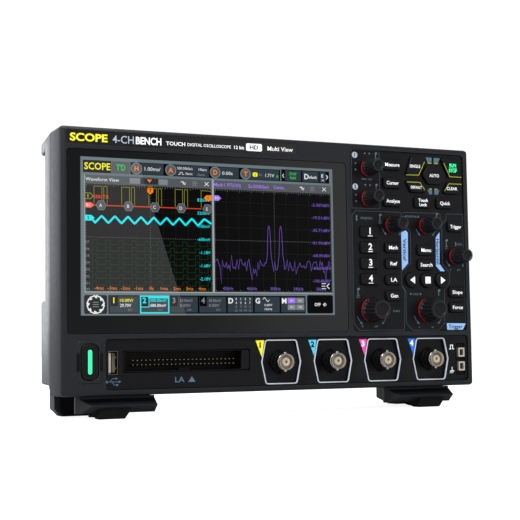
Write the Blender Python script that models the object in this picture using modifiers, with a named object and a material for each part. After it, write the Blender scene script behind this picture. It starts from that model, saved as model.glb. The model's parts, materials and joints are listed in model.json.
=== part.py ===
"""A four-channel bench oscilloscope: a shallow two-part housing on flip-out feet, with a touch screen,
a keypad of pressable caps, push-and-turn knobs, and the boards, fan and sockets that they need.

All sizes are in millimetres, measured on the front: `x` from the left edge, `drop` down from the top
edge, and `depth` back from the front face of the bezel. Only at() and its callers turn them into metres.
Row frame: +X to the right seen from the front, +Y to the back, +Z up. The origin is at the middle of
the bounding box, on the surface that the instrument stands on.
"""

import math

import bmesh
import bpy
from mathutils import Matrix, Vector

MM = 0.001

# Driving dimensions.
WIDTH = 265.35
HEIGHT = 161.75
DEPTH = 77.04
KNOB_REACH = 12.6
BODY_HEIGHT = 148.9
FRONT_DEPTH = 20.0
BACK = DEPTH - KNOB_REACH
FRONT_SETBACK = DEPTH / 2 - KNOB_REACH
WALL = 2.2
EDGE_ROUND = 2.0
GAP = 0.3

# Windows in the bezel: left, right, top, bottom.
SCREEN = (3.6, 177.3, 12.4, 115.0)
CONTROLS = (180.2, 261.6, 3.6, 114.8)
SOCKETS = (25.3, 261.9, 117.6, 145.9)
BADGE = (3.4, 144.2, 2.3, 9.9)
BADGE_DEEP = 0.3
WINDOW_ROUND = 2.0
PANEL_FACE = 1.0
PANEL_BACK = 3.7
PANEL_LIP = 0.5

# Key caps.
CAP_FACE = -0.9
CAP_LIP_FRONT = PANEL_BACK + GAP
CAP_LIP_BACK = CAP_LIP_FRONT + 1.0
CAP_LIP = 0.5
CAP_CHAMFER = 0.35
KEY_ROUND = 1.3

# Plain keys: centre x, centre drop, width, height.
RECTANGULAR_KEYS = {
    "channel_1": (192.5, 54.3, 12.4, 6.9),
    "channel_2": (192.5, 63.9, 12.4, 6.9),
    "channel_3": (192.5, 73.5, 12.4, 6.9),
    "channel_4": (192.5, 83.1, 12.4, 6.9),
    "measure": (209.2, 12.1, 12.4, 6.6),
    "cursor": (209.2, 23.4, 12.4, 6.6),
    "analyse": (209.2, 34.7, 12.4, 6.6),
    "math": (208.7, 63.5, 10.6, 6.0),
    "reference": (208.7, 73.4, 10.6, 6.0),
    "logic": (208.7, 83.3, 10.6, 6.0),
    "generator": (208.7, 93.1, 10.6, 6.0),
    "touch_lock": (230.8, 34.8, 11.8, 6.7),
    "quick": (246.9, 34.8, 11.8, 6.7),
    "menu": (232.2, 64.6, 11.6, 6.5),
    "search": (232.2, 73.8, 11.6, 6.5),
    "trigger": (254.4, 49.4, 11.0, 6.2),
    "slope": (254.4, 90.7, 11.0, 6.2),
    "force": (254.4, 100.2, 11.0, 6.2),
}
ROUND_KEYS = {
    "step_left": (222.2, 83.3),
    "stop": (233.0, 83.3),
    "step_right": (243.8, 83.3),
}
ROUND_KEY_RADIUS = 4.6

# The run keys surround a hexagonal key. Outlines are (right, up) from its centre.
CLUSTER = (239.8, 17.2)
AUTO_HALF = (8.8, 4.9, 5.9)
UPPER_KEY = ((-16.4, 11.0), (-5.1, 11.0), (-10.5, -0.7), (-20.6, -0.7))
LOWER_KEY = ((-21.2, -3.7), (-10.2, -3.7), (-5.9, -11.4), (-17.4, -11.4))

POWER = (16.4, 130.2, 9.6, 19.6)
POWER_ROUND = 3.6
POWER_FACE = -0.5
POWER_POCKET = (13.6, 23.4, 0.8)

# Knobs: centre x, centre drop, skirt radius.
KNOBS = {
    "multi_1": (193.1, 14.7, 5.3),
    "multi_2": (193.1, 33.3, 5.3),
    "vertical_position": (209.4, 49.2, 5.3),
    "vertical_scale": (193.8, 101.8, 7.8),
    "horizontal_position": (233.6, 49.0, 5.3),
    "horizontal_scale": (233.9, 101.8, 7.8),
    "trigger_level": (255.1, 68.1, 5.3),
}
KNOB_BASE = 0.2
KNOB_SKIRT = 2.0
KNOB_NECK = 0.87
KNOB_NOSE = 0.77
KNOB_BORE_END = -5.0
SHAFT_RADIUS = 3.0
SHAFT_FRONT = KNOB_BORE_END + GAP
SHAFT_BACK = 12.0
ENCODER = (11.0, 12.0, 8.5, 14.0)

# Signal inputs.
BNC_X = tuple(132.3 + 34.14 * i for i in range(4))
BNC_DROP = 132.1
BNC_TIP = -7.0
HEX_HALF = (12.3, 9.7, 12.4)
HEX_FLOOR = 3.2

# Sockets on the front: left, right, top, bottom.
USB = (26.9, 32.7, 124.3, 137.4)
LOGIC = (35.9, 112.0, 124.6, 136.2)
LOGIC_CAVITY = (36.8, 107.0, 125.2, 135.6)
COMP_SLOT = (252.9, 259.9, 122.6, 142.4)
COMP_LUGS = (128.3, 136.9)

# Boards.
BOARD_FRONT = 6.9
MAIN_BOARD = (11.0, 255.6, 20.0, 142.0)
MAIN_FRONT = 17.6
MAIN_BACK = 19.2

# Rear housing, as (depth, drop) points of its side view.
REAR_START = FRONT_DEPTH + GAP
RECESS = 46.5
RAIL_BOTTOM = 7.5
BULGE_TOP = 94.5
BULGE_BOTTOM = 143.5
REAR_SIDE = (
    (REAR_START, 0.0),
    (BACK, 0.0),
    (BACK, RAIL_BOTTOM),
    (RECESS, RAIL_BOTTOM),
    (RECESS, BULGE_TOP),
    (BACK, BULGE_TOP),
    (BACK, BULGE_BOTTOM),
    (33.0, BULGE_BOTTOM),
    (24.0, BODY_HEIGHT),
    (REAR_START, BODY_HEIGHT),
)
REAR_TAPER = 5.4

# Cooling fan.
FAN = (62.0, 119.0)
FAN_SIDE = 40.0
FAN_BORE = 18.5
FAN_FRONT = 49.9
FAN_BACK = 61.9
BLADES = 7

# Flip-out front legs: each one's left and right ends, and those of its pad's sole.
LEGS = {
    "leg_left": ((10.3, 55.7), (21.7, 37.0)),
    "leg_right": ((205.3, 250.7), (226.0, 241.3)),
}
LEG_SECTION = ((10.0, 149.3), (6.8, 149.3), (6.6, 150.6), (1.0, 154.4), (6.2, 158.6), (10.0, 158.6))
ARM_INSET = 8.0
ARM = 3.0
ARM_ROUND = 4.3
EAR = 1.6
HINGE_DEPTH = 16.8
HINGE_UP = 7.7
EAR_ROUND = 3.0
PAD_DEPTHS = (2.6, 10.0)

# Rear feet: left, right, front and back, and the drop at which the corners turn in.
REAR_FOOT = (8.4, 38.2, 46.5, 57.0)
FOOT_TURN = 157.4

CUTTERS = bpy.data.collections.new("cutters")
PARTS = bpy.data.collections.new("oscilloscope")
MATERIALS = {
    "housing": ((0.030, 0.032, 0.038), 0.45, 0.0),
    "fascia": ((0.014, 0.014, 0.016), 0.40, 0.0),
    "key": ((0.016, 0.016, 0.018), 0.50, 0.0),
    "knob": ((0.018, 0.018, 0.020), 0.45, 0.0),
    "glass": ((0.010, 0.010, 0.011), 0.08, 0.0),
    "nickel": ((0.62, 0.60, 0.56), 0.25, 1.0),
    "steel": ((0.50, 0.50, 0.52), 0.35, 1.0),
    "board": ((0.02, 0.10, 0.05), 0.50, 0.0),
    "socket": ((0.008, 0.008, 0.008), 0.60, 0.0),
    "fan": ((0.010, 0.010, 0.010), 0.50, 0.0),
}


def at(x, drop, depth=0.0):
    """The row-frame point, in metres, of a place given on the front in millimetres."""
    return Vector((x - WIDTH / 2, depth - FRONT_SETBACK, HEIGHT - drop)) * MM


def clear_scene():
    for obj in list(bpy.data.objects):
        bpy.data.objects.remove(obj)
    bpy.context.scene.collection.children.link(CUTTERS)
    bpy.context.scene.collection.children.link(PARTS)


def material(name):
    found = bpy.data.materials.get(name)
    if found:
        return found
    colour, roughness, metallic = MATERIALS[name]
    made = bpy.data.materials.new(name)
    made.use_nodes = True
    shader = made.node_tree.nodes["Principled BSDF"]
    shader.inputs["Base Color"].default_value = (*colour, 1.0)
    shader.inputs["Roughness"].default_value = roughness
    shader.inputs["Metallic"].default_value = metallic
    return made


# Meshes.


def box_mesh(x0, x1, drop0, drop1, depth0, depth1):
    """A box between two corners, in row-frame metres."""
    bm = bmesh.new()
    low, high = at(x0, drop1, depth0), at(x1, drop0, depth1)
    middle = Matrix.Translation((low + high) / 2)
    size = Matrix.Diagonal((*(high - low), 1.0))
    bmesh.ops.create_cube(bm, size=1.0, matrix=middle @ size)
    return finished(bm)


def cylinder_mesh(radius, start, end, sides=16):
    """A cylinder between two row-frame points."""
    bm = bmesh.new()
    along = end - start
    turn = along.to_track_quat("Z", "Y").to_matrix().to_4x4()
    bmesh.ops.create_cone(
        bm,
        cap_ends=True,
        segments=sides,
        radius1=radius * MM,
        radius2=radius * MM,
        depth=along.length,
        matrix=Matrix.Translation((start + end) / 2) @ turn,
    )
    return finished(bm)


def finished(bm):
    mesh = bpy.data.meshes.new("mesh")
    bm.normal_update()
    bm.to_mesh(mesh)
    bm.free()
    return mesh


def outline_mesh(points, thickness, place):
    """A flat outline in millimetres, thickened evenly to both sides, then moved by the matrix `place`."""
    curve = bpy.data.curves.new("outline", "CURVE")
    curve.dimensions = "2D"
    curve.fill_mode = "BOTH"
    curve.extrude = thickness / 2 * MM
    spline = curve.splines.new("POLY")
    spline.points.add(len(points) - 1)
    for point, (u, v) in zip(spline.points, points):
        point.co = (u * MM, v * MM, 0.0, 1.0)
    spline.use_cyclic_u = True
    guide = bpy.data.objects.new("outline", curve)
    CUTTERS.objects.link(guide)
    graph = bpy.context.evaluated_depsgraph_get()
    mesh = bpy.data.meshes.new_from_object(guide.evaluated_get(graph))
    bpy.data.objects.remove(guide)
    bm = bmesh.new()
    bm.from_mesh(mesh)
    bmesh.ops.remove_doubles(bm, verts=bm.verts, dist=1e-6)
    bmesh.ops.dissolve_limit(bm, angle_limit=0.02, verts=bm.verts, edges=bm.edges)
    bmesh.ops.recalc_face_normals(bm, faces=bm.faces)
    bmesh.ops.transform(bm, matrix=place, verts=bm.verts)
    return finished(bm)


def facing(depth0, depth1, origin=None):
    """Places an outline of (right, up) points in the front plane, between two depths."""
    middle = (origin or at(0, HEIGHT)) + Vector((0, (depth0 + depth1) / 2 * MM, 0))
    return Matrix.Translation(middle) @ Matrix.Rotation(math.pi / 2, 4, "X")


def front_plate(points, depth0, depth1, centre=(0.0, HEIGHT)):
    """A plate parallel to the front. Its points are (right, up) from `centre`, an (x, drop) place."""
    return outline_mesh(points, depth1 - depth0, facing(depth0, depth1, at(*centre)))


def side_prism(points, x0, x1):
    """A bar along X whose section is given as (depth, drop) points."""
    turned = Matrix(((0, 0, 1, 0), (1, 0, 0, 0), (0, 1, 0, 0), (0, 0, 0, 1)))
    outline = [(depth, -drop) for depth, drop in points]
    return outline_mesh(outline, x1 - x0, Matrix.Translation(at((x0 + x1) / 2, 0)) @ turned)


def plan_prism(points, drop0, drop1):
    """An upright bar whose section is given as (x, depth) points."""
    outline = [(x - WIDTH / 2, depth - FRONT_SETBACK) for x, depth in points]
    middle = at(WIDTH / 2, (drop0 + drop1) / 2, FRONT_SETBACK)
    return outline_mesh(outline, drop1 - drop0, Matrix.Translation(middle))


def rounded(points, radius, steps=2):
    """The outline with each corner replaced by an arc of steps + 1 points."""
    made = []
    count = len(points)
    for i in range(count):
        corner = Vector(points[i])
        before = (Vector(points[i - 1]) - corner).normalized()
        after = (Vector(points[(i + 1) % count]) - corner).normalized()
        half = before.angle(after) / 2
        centre = corner + (before + after).normalized() * radius / math.sin(half)
        reach = radius / math.tan(half)
        start = corner + before * reach - centre
        swing = start.angle_signed(corner + after * reach - centre)
        for k in range(steps + 1):
            arm = start.copy()
            arm.rotate(Matrix.Rotation(-swing * k / steps, 2))
            made.append(tuple(centre + arm))
    return made


def rectangle(width, height, radius=0.0, steps=2):
    w, h = width / 2, height / 2
    corners = [(-w, -h), (w, -h), (w, h), (-w, h)]
    return rounded(corners, radius, steps) if radius else corners


def circle(radius, sides=16):
    turns = [2 * math.pi * i / sides for i in range(sides)]
    return [(radius * math.cos(a), radius * math.sin(a)) for a in turns]


def grown(points, by):
    """The outline moved outwards by a distance. Its corners keep their angles."""
    made = []
    count = len(points)
    area = sum(
        points[i - 1][0] * points[i][1] - points[i][0] * points[i - 1][1]
        for i in range(count)
    )
    side = by if area > 0 else -by
    for i in range(count):
        corner = Vector(points[i])
        a = (corner - Vector(points[i - 1])).normalized()
        b = (Vector(points[(i + 1) % count]) - corner).normalized()
        normal_a, normal_b = Vector((a.y, -a.x)), Vector((b.y, -b.x))
        mitre = (normal_a + normal_b).normalized()
        made.append(tuple(corner + mitre * side / mitre.dot(normal_a)))
    return made


def hexagon(middle_half, end_half, half_height):
    return [
        (-middle_half, 0.0),
        (-end_half, -half_height),
        (end_half, -half_height),
        (middle_half, 0.0),
        (end_half, half_height),
        (-end_half, half_height),
    ]


def mirrored(points):
    return [(-u, v) for u, v in reversed(points)]


# Objects.


def add(name, mesh, kind, location=None):
    """One part. Its mesh is in the row frame, and its origin goes to `location`."""
    obj = bpy.data.objects.new(name, mesh)
    if location is not None:
        mesh.transform(Matrix.Translation(-location))
        obj.location = location
    obj.data.materials.append(material(kind))
    PARTS.objects.link(obj)
    return obj


def helper(name, meshes):
    """One hidden object that holds some closed shapes, for a Boolean."""
    bm = bmesh.new()
    for mesh in meshes:
        bm.from_mesh(mesh)
    obj = bpy.data.objects.new(name, finished(bm))
    obj.hide_render = True
    obj.display_type = "WIRE"
    CUTTERS.objects.link(obj)
    return obj


def combine(obj, operation, *meshes):
    """Cuts closed shapes from a part, joins them to it, or keeps what they share."""
    modifier = obj.modifiers.new(operation.lower(), "BOOLEAN")
    modifier.operation = operation
    modifier.object = helper(f"{obj.name}_{operation.lower()}", meshes)


def turned(name, profile, kind, location, steps):
    """A turned part on the depth axis. The profile is (radius, depth) points from the nose to the back."""
    mesh = bpy.data.meshes.new(name)
    verts = [(r * MM, 0.0, -d * MM) for r, d in profile]
    mesh.from_pydata(verts, [(i, i + 1) for i in range(len(verts) - 1)], [])
    obj = bpy.data.objects.new(name, mesh)
    obj.location = location
    obj.rotation_euler = (math.pi / 2, 0.0, 0.0)
    obj.data.materials.append(material(kind))
    screw = obj.modifiers.new("turn", "SCREW")
    screw.angle = 2 * math.pi
    screw.steps = steps
    screw.render_steps = steps
    screw.use_merge_vertices = True
    screw.merge_threshold = 1e-5
    PARTS.objects.link(obj)
    return obj


# Housing.


def window(edges, depth0, depth1, radius=WINDOW_ROUND):
    left, right, top, bottom = edges
    outline = rectangle(right - left, bottom - top, radius)
    return front_plate(outline, depth0, depth1, ((left + right) / 2, (top + bottom) / 2))


def ear_starts():
    """The left face of each ear: one ear stands inside each arm of a leg."""
    reach = ARM_INSET + ARM + GAP
    return [x for (left, right), _ in LEGS.values() for x in (left + reach, right - reach - EAR)]


def make_ears(shell):
    """The ears that carry the legs, each with a round end about the hinge, and the holes of the hinge pins."""
    drop = HEIGHT - HINGE_UP
    front, back = HINGE_DEPTH - EAR_ROUND, HINGE_DEPTH + EAR_ROUND
    plates = [box_mesh(x, x + EAR, BODY_HEIGHT - 1.0, drop, front, back) for x in ear_starts()]
    ends = [
        cylinder_mesh(EAR_ROUND, at(x, drop, HINGE_DEPTH), at(x + EAR, drop, HINGE_DEPTH))
        for x in ear_starts()
    ]
    pins = [
        cylinder_mesh(1.5, at(x - 1, drop, HINGE_DEPTH), at(x + EAR + 1, drop, HINGE_DEPTH), 10)
        for x in ear_starts()
    ]
    combine(shell, "UNION", *plates)
    combine(shell, "UNION", *ends)
    combine(shell, "DIFFERENCE", *pins)


def make_front_shell():
    bm = bmesh.new()
    bm.from_mesh(box_mesh(0, WIDTH, 0, BODY_HEIGHT, 0, FRONT_DEPTH))
    back = at(0, 0, FRONT_DEPTH).y
    edges = [e for e in bm.edges if not all(abs(v.co.y - back) < 1e-6 for v in e.verts)]
    bmesh.ops.bevel(
        bm, geom=edges, offset=EDGE_ROUND * MM, segments=2, profile=0.5, affect="EDGES"
    )
    shell = add("front_shell", finished(bm), "housing")
    drops = (WALL, BODY_HEIGHT - WALL)
    combine(shell, "DIFFERENCE", box_mesh(WALL, WIDTH - WALL, *drops, WALL, FRONT_DEPTH + 1))
    make_ears(shell)
    x, drop, width, height = POWER
    pocket_width, pocket_height, pocket_deep = POWER_POCKET
    button_hole = grown(rectangle(width, height, POWER_ROUND), GAP)
    cuts = [window(edges, -1, WALL + 1) for edges in (SCREEN, CONTROLS, SOCKETS)]
    cuts.append(window(BADGE, -1, BADGE_DEEP, 1.0))
    pocket = rectangle(pocket_width, pocket_height, WINDOW_ROUND)
    cuts.append(front_plate(pocket, -1, pocket_deep, (x, drop)))
    combine(shell, "DIFFERENCE", *cuts)
    combine(shell, "DIFFERENCE", front_plate(button_hole, -1, WALL + 1, (x, drop)))


def make_rear_shell():
    """A side profile cut to the plan's taper, hollowed the same way, with feet, vents and socket holes."""
    shell = add("rear_shell", side_prism(REAR_SIDE, -1, WIDTH + 1), "housing")
    combine(shell, "INTERSECT", rear_plan(0.0, REAR_START, BACK, -1, BODY_HEIGHT + 1))
    round_off = shell.modifiers.new("round", "BEVEL")
    round_off.width = 1.4 * MM
    round_off.segments = 2
    round_off.limit_method = "ANGLE"
    round_off.angle_limit = math.radians(40)
    shared = helper("rear_shell_hollow", [side_prism(rear_inside(), -1, WIDTH + 1)])
    plan = shared.modifiers.new("plan", "BOOLEAN")
    plan.operation = "INTERSECT"
    inner_plan = rear_plan(WALL, REAR_START - 2, BACK, -1, BODY_HEIGHT + 1)
    plan.object = helper("rear_shell_hollow_plan", [inner_plan])
    hollow = shell.modifiers.new("hollow", "BOOLEAN")
    hollow.object = shared
    left, right, front, back = REAR_FOOT
    top = BULGE_BOTTOM - 1.2
    turn_in = HEIGHT - FOOT_TURN
    foot = [
        (left, top),
        (right, top),
        (right, FOOT_TURN),
        (right - 2 * turn_in, HEIGHT),
        (left + turn_in, HEIGHT),
        (left, FOOT_TURN),
    ]
    feet = [
        front_plate([(side(x), HEIGHT - drop) for x, drop in foot], front, back)
        for side in (lambda x: x, lambda x: WIDTH - x)
    ]
    combine(shell, "UNION", *feet)
    combine(shell, "DIFFERENCE", *rear_holes())


def rear_plan(inset, depth0, depth1, drop0, drop1):
    """The housing seen from above: full width at the seam, and tapered to the back."""
    slope = REAR_TAPER / (BACK - REAR_START)
    left0 = (depth0 - REAR_START) * slope + inset
    left1 = (depth1 - REAR_START) * slope + inset
    outline = [(left0, depth0), (WIDTH - left0, depth0), (WIDTH - left1, depth1), (left1, depth1)]
    return plan_prism(outline, drop0, drop1)


def rear_inside():
    """The hollow's side profile: one wall thickness inside the housing's own."""
    return (
        (REAR_START - 1.0, WALL),
        (RECESS - WALL, WALL),
        (RECESS - WALL, BULGE_TOP + WALL),
        (BACK - WALL, BULGE_TOP + WALL),
        (BACK - WALL, BULGE_BOTTOM - WALL),
        (32.2, BULGE_BOTTOM - WALL),
        (23.3, BODY_HEIGHT - WALL),
        (REAR_START - 1.0, BODY_HEIGHT - WALL),
    )


def slots(x, drop, width, height, pitch, count, depth0, depth1):
    """A column of equal level slots, the middle one at (x, drop)."""
    first = drop - pitch * (count - 1) / 2
    return [
        box_mesh(
            x - width / 2,
            x + width / 2,
            first + pitch * i - height / 2,
            first + pitch * i + height / 2,
            depth0,
            depth1,
        )
        for i in range(count)
    ]


# Rear sockets on the main board: x, drop, width, height, cavity width, cavity height, cavity depth.
REAR_SOCKETS = {
    "network": (60.0, 80.0, 16.4, 13.6, 11.8, 8.4, 13.0),
    "video": (86.0, 80.0, 15.4, 6.4, 13.8, 4.8, 9.0),
    "usb_device": (108.0, 80.0, 12.2, 11.2, 8.6, 7.8, 9.0),
    "power_inlet": (128.0, 80.0, 9.6, 4.0, 8.4, 2.6, 7.0),
}
REAR_SOCKET_FACE = RECESS - 0.4


def rear_holes():
    wall = (RECESS - WALL - 1, RECESS + 1)
    holes = [
        front_plate(rectangle(w + 2 * GAP, h + 2 * GAP), *wall, (x, drop))
        for x, drop, w, h, _, _, _ in REAR_SOCKETS.values()
    ]
    back = (BACK - WALL - 1, BACK + 1)
    holes += slots(FAN[0], FAN[1], 34.0, 2.0, 4.0, 9, *back)
    holes += slots(150.0, FAN[1], 60.0, 2.0, 5.0, 7, *back)
    holes += slots(188.0, 44.0, 70.0, 2.4, 6.0, 8, *wall)
    return holes


def leg_arm(left):
    """One arm of a leg, round about the hinge at its back."""
    drop = HEIGHT - HINGE_UP
    arc = [math.radians(90 - 22.5 * i) for i in range(9)]
    back = [(HINGE_DEPTH + ARM_ROUND * math.cos(a), drop - ARM_ROUND * math.sin(a)) for a in arc]
    return side_prism([(8.0, drop - ARM_ROUND), *back, (8.0, drop + ARM_ROUND)], left, left + ARM)


def make_legs():
    """Each leg is a prow with a faceted left end, two arms that reach back to stub pins, and a rubber pad."""
    drop = HEIGHT - HINGE_UP
    for name, ((left, right), (pad_left, pad_right)) in LEGS.items():
        middle = (left + right) / 2
        leg = add(name, side_prism(LEG_SECTION, left, right), "housing", at(middle, drop, HINGE_DEPTH))
        end = [(left - 1, 9.1), (left + 2.3, 6.3), (left + 9.2, -1), (left - 1, -1)]
        combine(leg, "DIFFERENCE", plan_prism(end, BODY_HEIGHT, HEIGHT))
        arms = (left + ARM_INSET, right - ARM_INSET - ARM)
        combine(leg, "UNION", *[leg_arm(x) for x in arms])
        reach = ARM + GAP + EAR
        for start, end in ((arms[0] + 1, arms[0] + reach), (arms[1] + ARM - reach, arms[1] + ARM - 1)):
            pin = cylinder_mesh(1.1, at(start, drop, HINGE_DEPTH), at(end, drop, HINGE_DEPTH), 10)
            combine(leg, "UNION", pin)
        front = [
            (pad_left, 161.0),
            (pad_left + 0.7, HEIGHT),
            (pad_right, HEIGHT),
            (pad_right + 2.4, 158.6),
            (pad_right + 3.6, 156.0),
            (pad_left + 1.5, 156.0),
        ]
        combine(leg, "UNION", front_plate([(x, HEIGHT - down) for x, down in front], *PAD_DEPTHS))
        side = [(pad_left + 1.4, 3.4), (pad_left - 3.6, 7.6), (pad_left - 3.6, 9.6), (pad_left + 1.4, 9.6)]
        combine(leg, "UNION", plan_prism(side, 157.6, 160.6))


def key_outlines():
    """Every key on the control panel: name to (centre x, centre drop, outline)."""
    keys = {
        name: (x, drop, rectangle(w, h, KEY_ROUND))
        for name, (x, drop, w, h) in RECTANGULAR_KEYS.items()
    }
    for name, (x, drop) in ROUND_KEYS.items():
        keys[name] = (x, drop, circle(ROUND_KEY_RADIUS, 18))
    keys["auto"] = (*CLUSTER, rounded(hexagon(*AUTO_HALF), 0.8, 1))
    for name, outline in (
        ("single", UPPER_KEY),
        ("default", LOWER_KEY),
        ("run_stop", mirrored(UPPER_KEY)),
        ("clear", mirrored(LOWER_KEY)),
    ):
        keys[name] = (*CLUSTER, rounded(outline, 0.9, 1))
    return keys


def panel(name, edges, kind):
    """A plate that fills a window and is held by a lip behind the bezel."""
    left, right, top, bottom = edges
    inner = (left + GAP, right - GAP, top + GAP, bottom - GAP)
    outer = (left - PANEL_LIP, right + PANEL_LIP, top - PANEL_LIP, bottom + PANEL_LIP)
    plate = add(name, window(inner, PANEL_FACE, PANEL_BACK, WINDOW_ROUND - GAP), kind)
    combine(plate, "UNION", window(outer, WALL + GAP, PANEL_BACK + 0.01))
    return plate


def make_control_panel():
    plate = panel("control_panel", CONTROLS, "fascia")
    through = (PANEL_FACE - 1, PANEL_BACK + 1)
    holes = [
        front_plate(grown(outline, GAP), *through, (x, drop))
        for x, drop, outline in key_outlines().values()
    ]
    holes += [
        front_plate(circle(SHAFT_RADIUS + 0.4, 14), *through, (x, drop))
        for x, drop, _ in KNOBS.values()
    ]
    combine(plate, "DIFFERENCE", *holes)


def make_socket_panel():
    plate = panel("socket_panel", SOCKETS, "fascia")
    hex_outline = hexagon(*HEX_HALF)
    floor = HEX_FLOOR + 1.5
    pockets = [
        front_plate(grown(hex_outline, 1.2), WALL + GAP + 0.2, floor, (x, BNC_DROP)) for x in BNC_X
    ]
    combine(plate, "UNION", *pockets)
    hollows = [front_plate(hex_outline, -1, HEX_FLOOR, (x, BNC_DROP)) for x in BNC_X]
    combine(plate, "DIFFERENCE", *hollows)
    necks = [front_plate(circle(5.9, 20), 2, floor + 1, (x, BNC_DROP)) for x in BNC_X]
    through = (PANEL_FACE - 1, PANEL_BACK + 1)
    openings = [
        window((e[0] - GAP, e[1] + GAP, e[2] - GAP, e[3] + GAP), *through, 0.5)
        for e in (USB, LOGIC)
    ]
    openings.append(window(COMP_SLOT, *through, 0.8))
    combine(plate, "DIFFERENCE", *necks, *openings)


def make_keys():
    for name, (x, drop, outline) in key_outlines().items():
        add_key(f"key_{name}", outline, x, drop, CAP_FACE, CAP_LIP_FRONT, CAP_LIP_BACK)
    x, drop, width, height = POWER
    outline = rectangle(width, height, POWER_ROUND, 4)
    lip = WALL + GAP
    add_key("power_button", outline, x, drop, POWER_FACE, lip, lip + 1.0)


def add_key(name, outline, x, drop, face, lip_front, lip_back):
    """A cap: a lip plate behind the panel, a body through it and a chamfered face."""
    bm = bmesh.new()
    bm.from_mesh(front_plate(grown(outline, CAP_LIP), lip_front, lip_back, (x, drop)))
    front = min(bm.faces, key=lambda found: found.calc_center_median().y)
    rise = lip_front - face - CAP_CHAMFER
    for inset, height in ((CAP_LIP, 0.0), (0.0, rise), (CAP_CHAMFER, CAP_CHAMFER)):
        bmesh.ops.inset_region(
            bm, faces=[front], use_even_offset=True, thickness=inset * MM, depth=height * MM
        )
    middle = sum((Vector(p) for p in outline), Vector((0, 0))) / len(outline)
    add(name, finished(bm), "key", at(x + middle.x, drop - middle.y, face))


def make_knobs():
    """Each knob is a hollow cap on an encoder shaft, which slides back when the knob is pushed."""
    tip = -KNOB_REACH
    for name, (x, drop, radius) in KNOBS.items():
        neck, nose = radius * KNOB_NECK, radius * KNOB_NOSE
        profile = [
            (0.0, tip + 0.8),
            (nose - 1.5, tip + 0.6),
            (nose - 0.8, tip),
            (nose - 0.2, tip),
            (nose, tip + 0.4),
            (neck, KNOB_BASE - KNOB_SKIRT),
            (radius, KNOB_BASE - 0.9),
            (radius, KNOB_BASE),
            (SHAFT_RADIUS + GAP, KNOB_BASE),
            (SHAFT_RADIUS + GAP, KNOB_BORE_END),
            (0.0, KNOB_BORE_END),
        ]
        turned(f"knob_{name}", profile, "knob", at(x, drop), 20)
        shaft = [(0, SHAFT_FRONT), (SHAFT_RADIUS, SHAFT_FRONT), (SHAFT_RADIUS, SHAFT_BACK), (0, SHAFT_BACK)]
        turned(f"encoder_shaft_{name}", shaft, "steel", at(x, drop), 12)


def make_screen():
    left, right, top, bottom = SCREEN
    inside = (left + GAP, right - GAP, top + GAP, bottom - GAP)
    add("screen_glass", window(inside, 0.5, 2.1, WINDOW_ROUND - GAP), "glass")
    display = box_mesh(left + 2.4, right - 2.4, top + 1.6, bottom - 1.6, WALL + GAP, 8.2)
    add("display_module", display, "steel")


# Sockets.


def make_inputs():
    """Bayonet coaxial inputs: a turned shell and insulator, two lugs, and a block on the main board."""
    profile = [
        (0.0, -4.6),
        (2.4, -4.6),
        (2.4, 0.0),
        (4.05, 0.0),
        (4.05, BNC_TIP),
        (4.8, BNC_TIP),
        (4.8, 1.4),
        (6.4, 1.4),
        (6.4, HEX_FLOOR - GAP),
        (5.5, HEX_FLOOR - GAP),
        (5.5, 5.4),
        (0.0, 5.4),
    ]
    for number, x in enumerate(BNC_X, 1):
        centre = at(x, BNC_DROP)
        socket = turned(f"input_{number}", profile, "nickel", centre, 16)
        block = box_mesh(x - 6.5, x + 6.5, BNC_DROP - 6.5, BNC_DROP + 6.5, 5.1, MAIN_FRONT - GAP)
        lugs = [
            cylinder_mesh(0.9, at(x, BNC_DROP + side * 4.4, -2.8), at(x, BNC_DROP + side * 5.8, -2.8), 8)
            for side in (-1, 1)
        ]
        combine(socket, "UNION", block, *lugs)


def make_front_sockets():
    left, right, top, bottom = LOGIC
    header = add("logic_header", box_mesh(left, right, top, bottom, 2.5, MAIN_FRONT - GAP), "socket")
    combine(header, "DIFFERENCE", box_mesh(*LOGIC_CAVITY, 0, 11.5))
    left, right, top, bottom = USB
    port = add("usb_host_port", box_mesh(left, right, top, bottom, 0.9, MAIN_FRONT - GAP), "nickel")
    skin = 0.4
    hollow = box_mesh(left + skin, right - skin, top + skin, bottom - skin, 0, 13.0)
    combine(port, "DIFFERENCE", hollow)
    combine(port, "UNION", box_mesh(left + 2.6, left + 4.4, top + 1.2, bottom - 1.2, 2.2, 13.5))


def comp_lug(drop):
    """A rectangular loop for a probe's hook, on a stem from the main board."""
    x = (COMP_SLOT[0] + COMP_SLOT[1]) / 2
    loop = [(-2.2, -2.8), (2.2, -2.8), (2.2, 2.8), (-2.2, 2.8)]
    return (
        front_plate(loop, -0.6, 1.4, (x, drop)),
        front_plate(grown(loop, -0.9), -2, 3, (x, drop)),
        box_mesh(x - 2.0, x - 1.2, drop - 1.5, drop + 1.5, 0.6, MAIN_FRONT + 0.5),
    )


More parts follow.
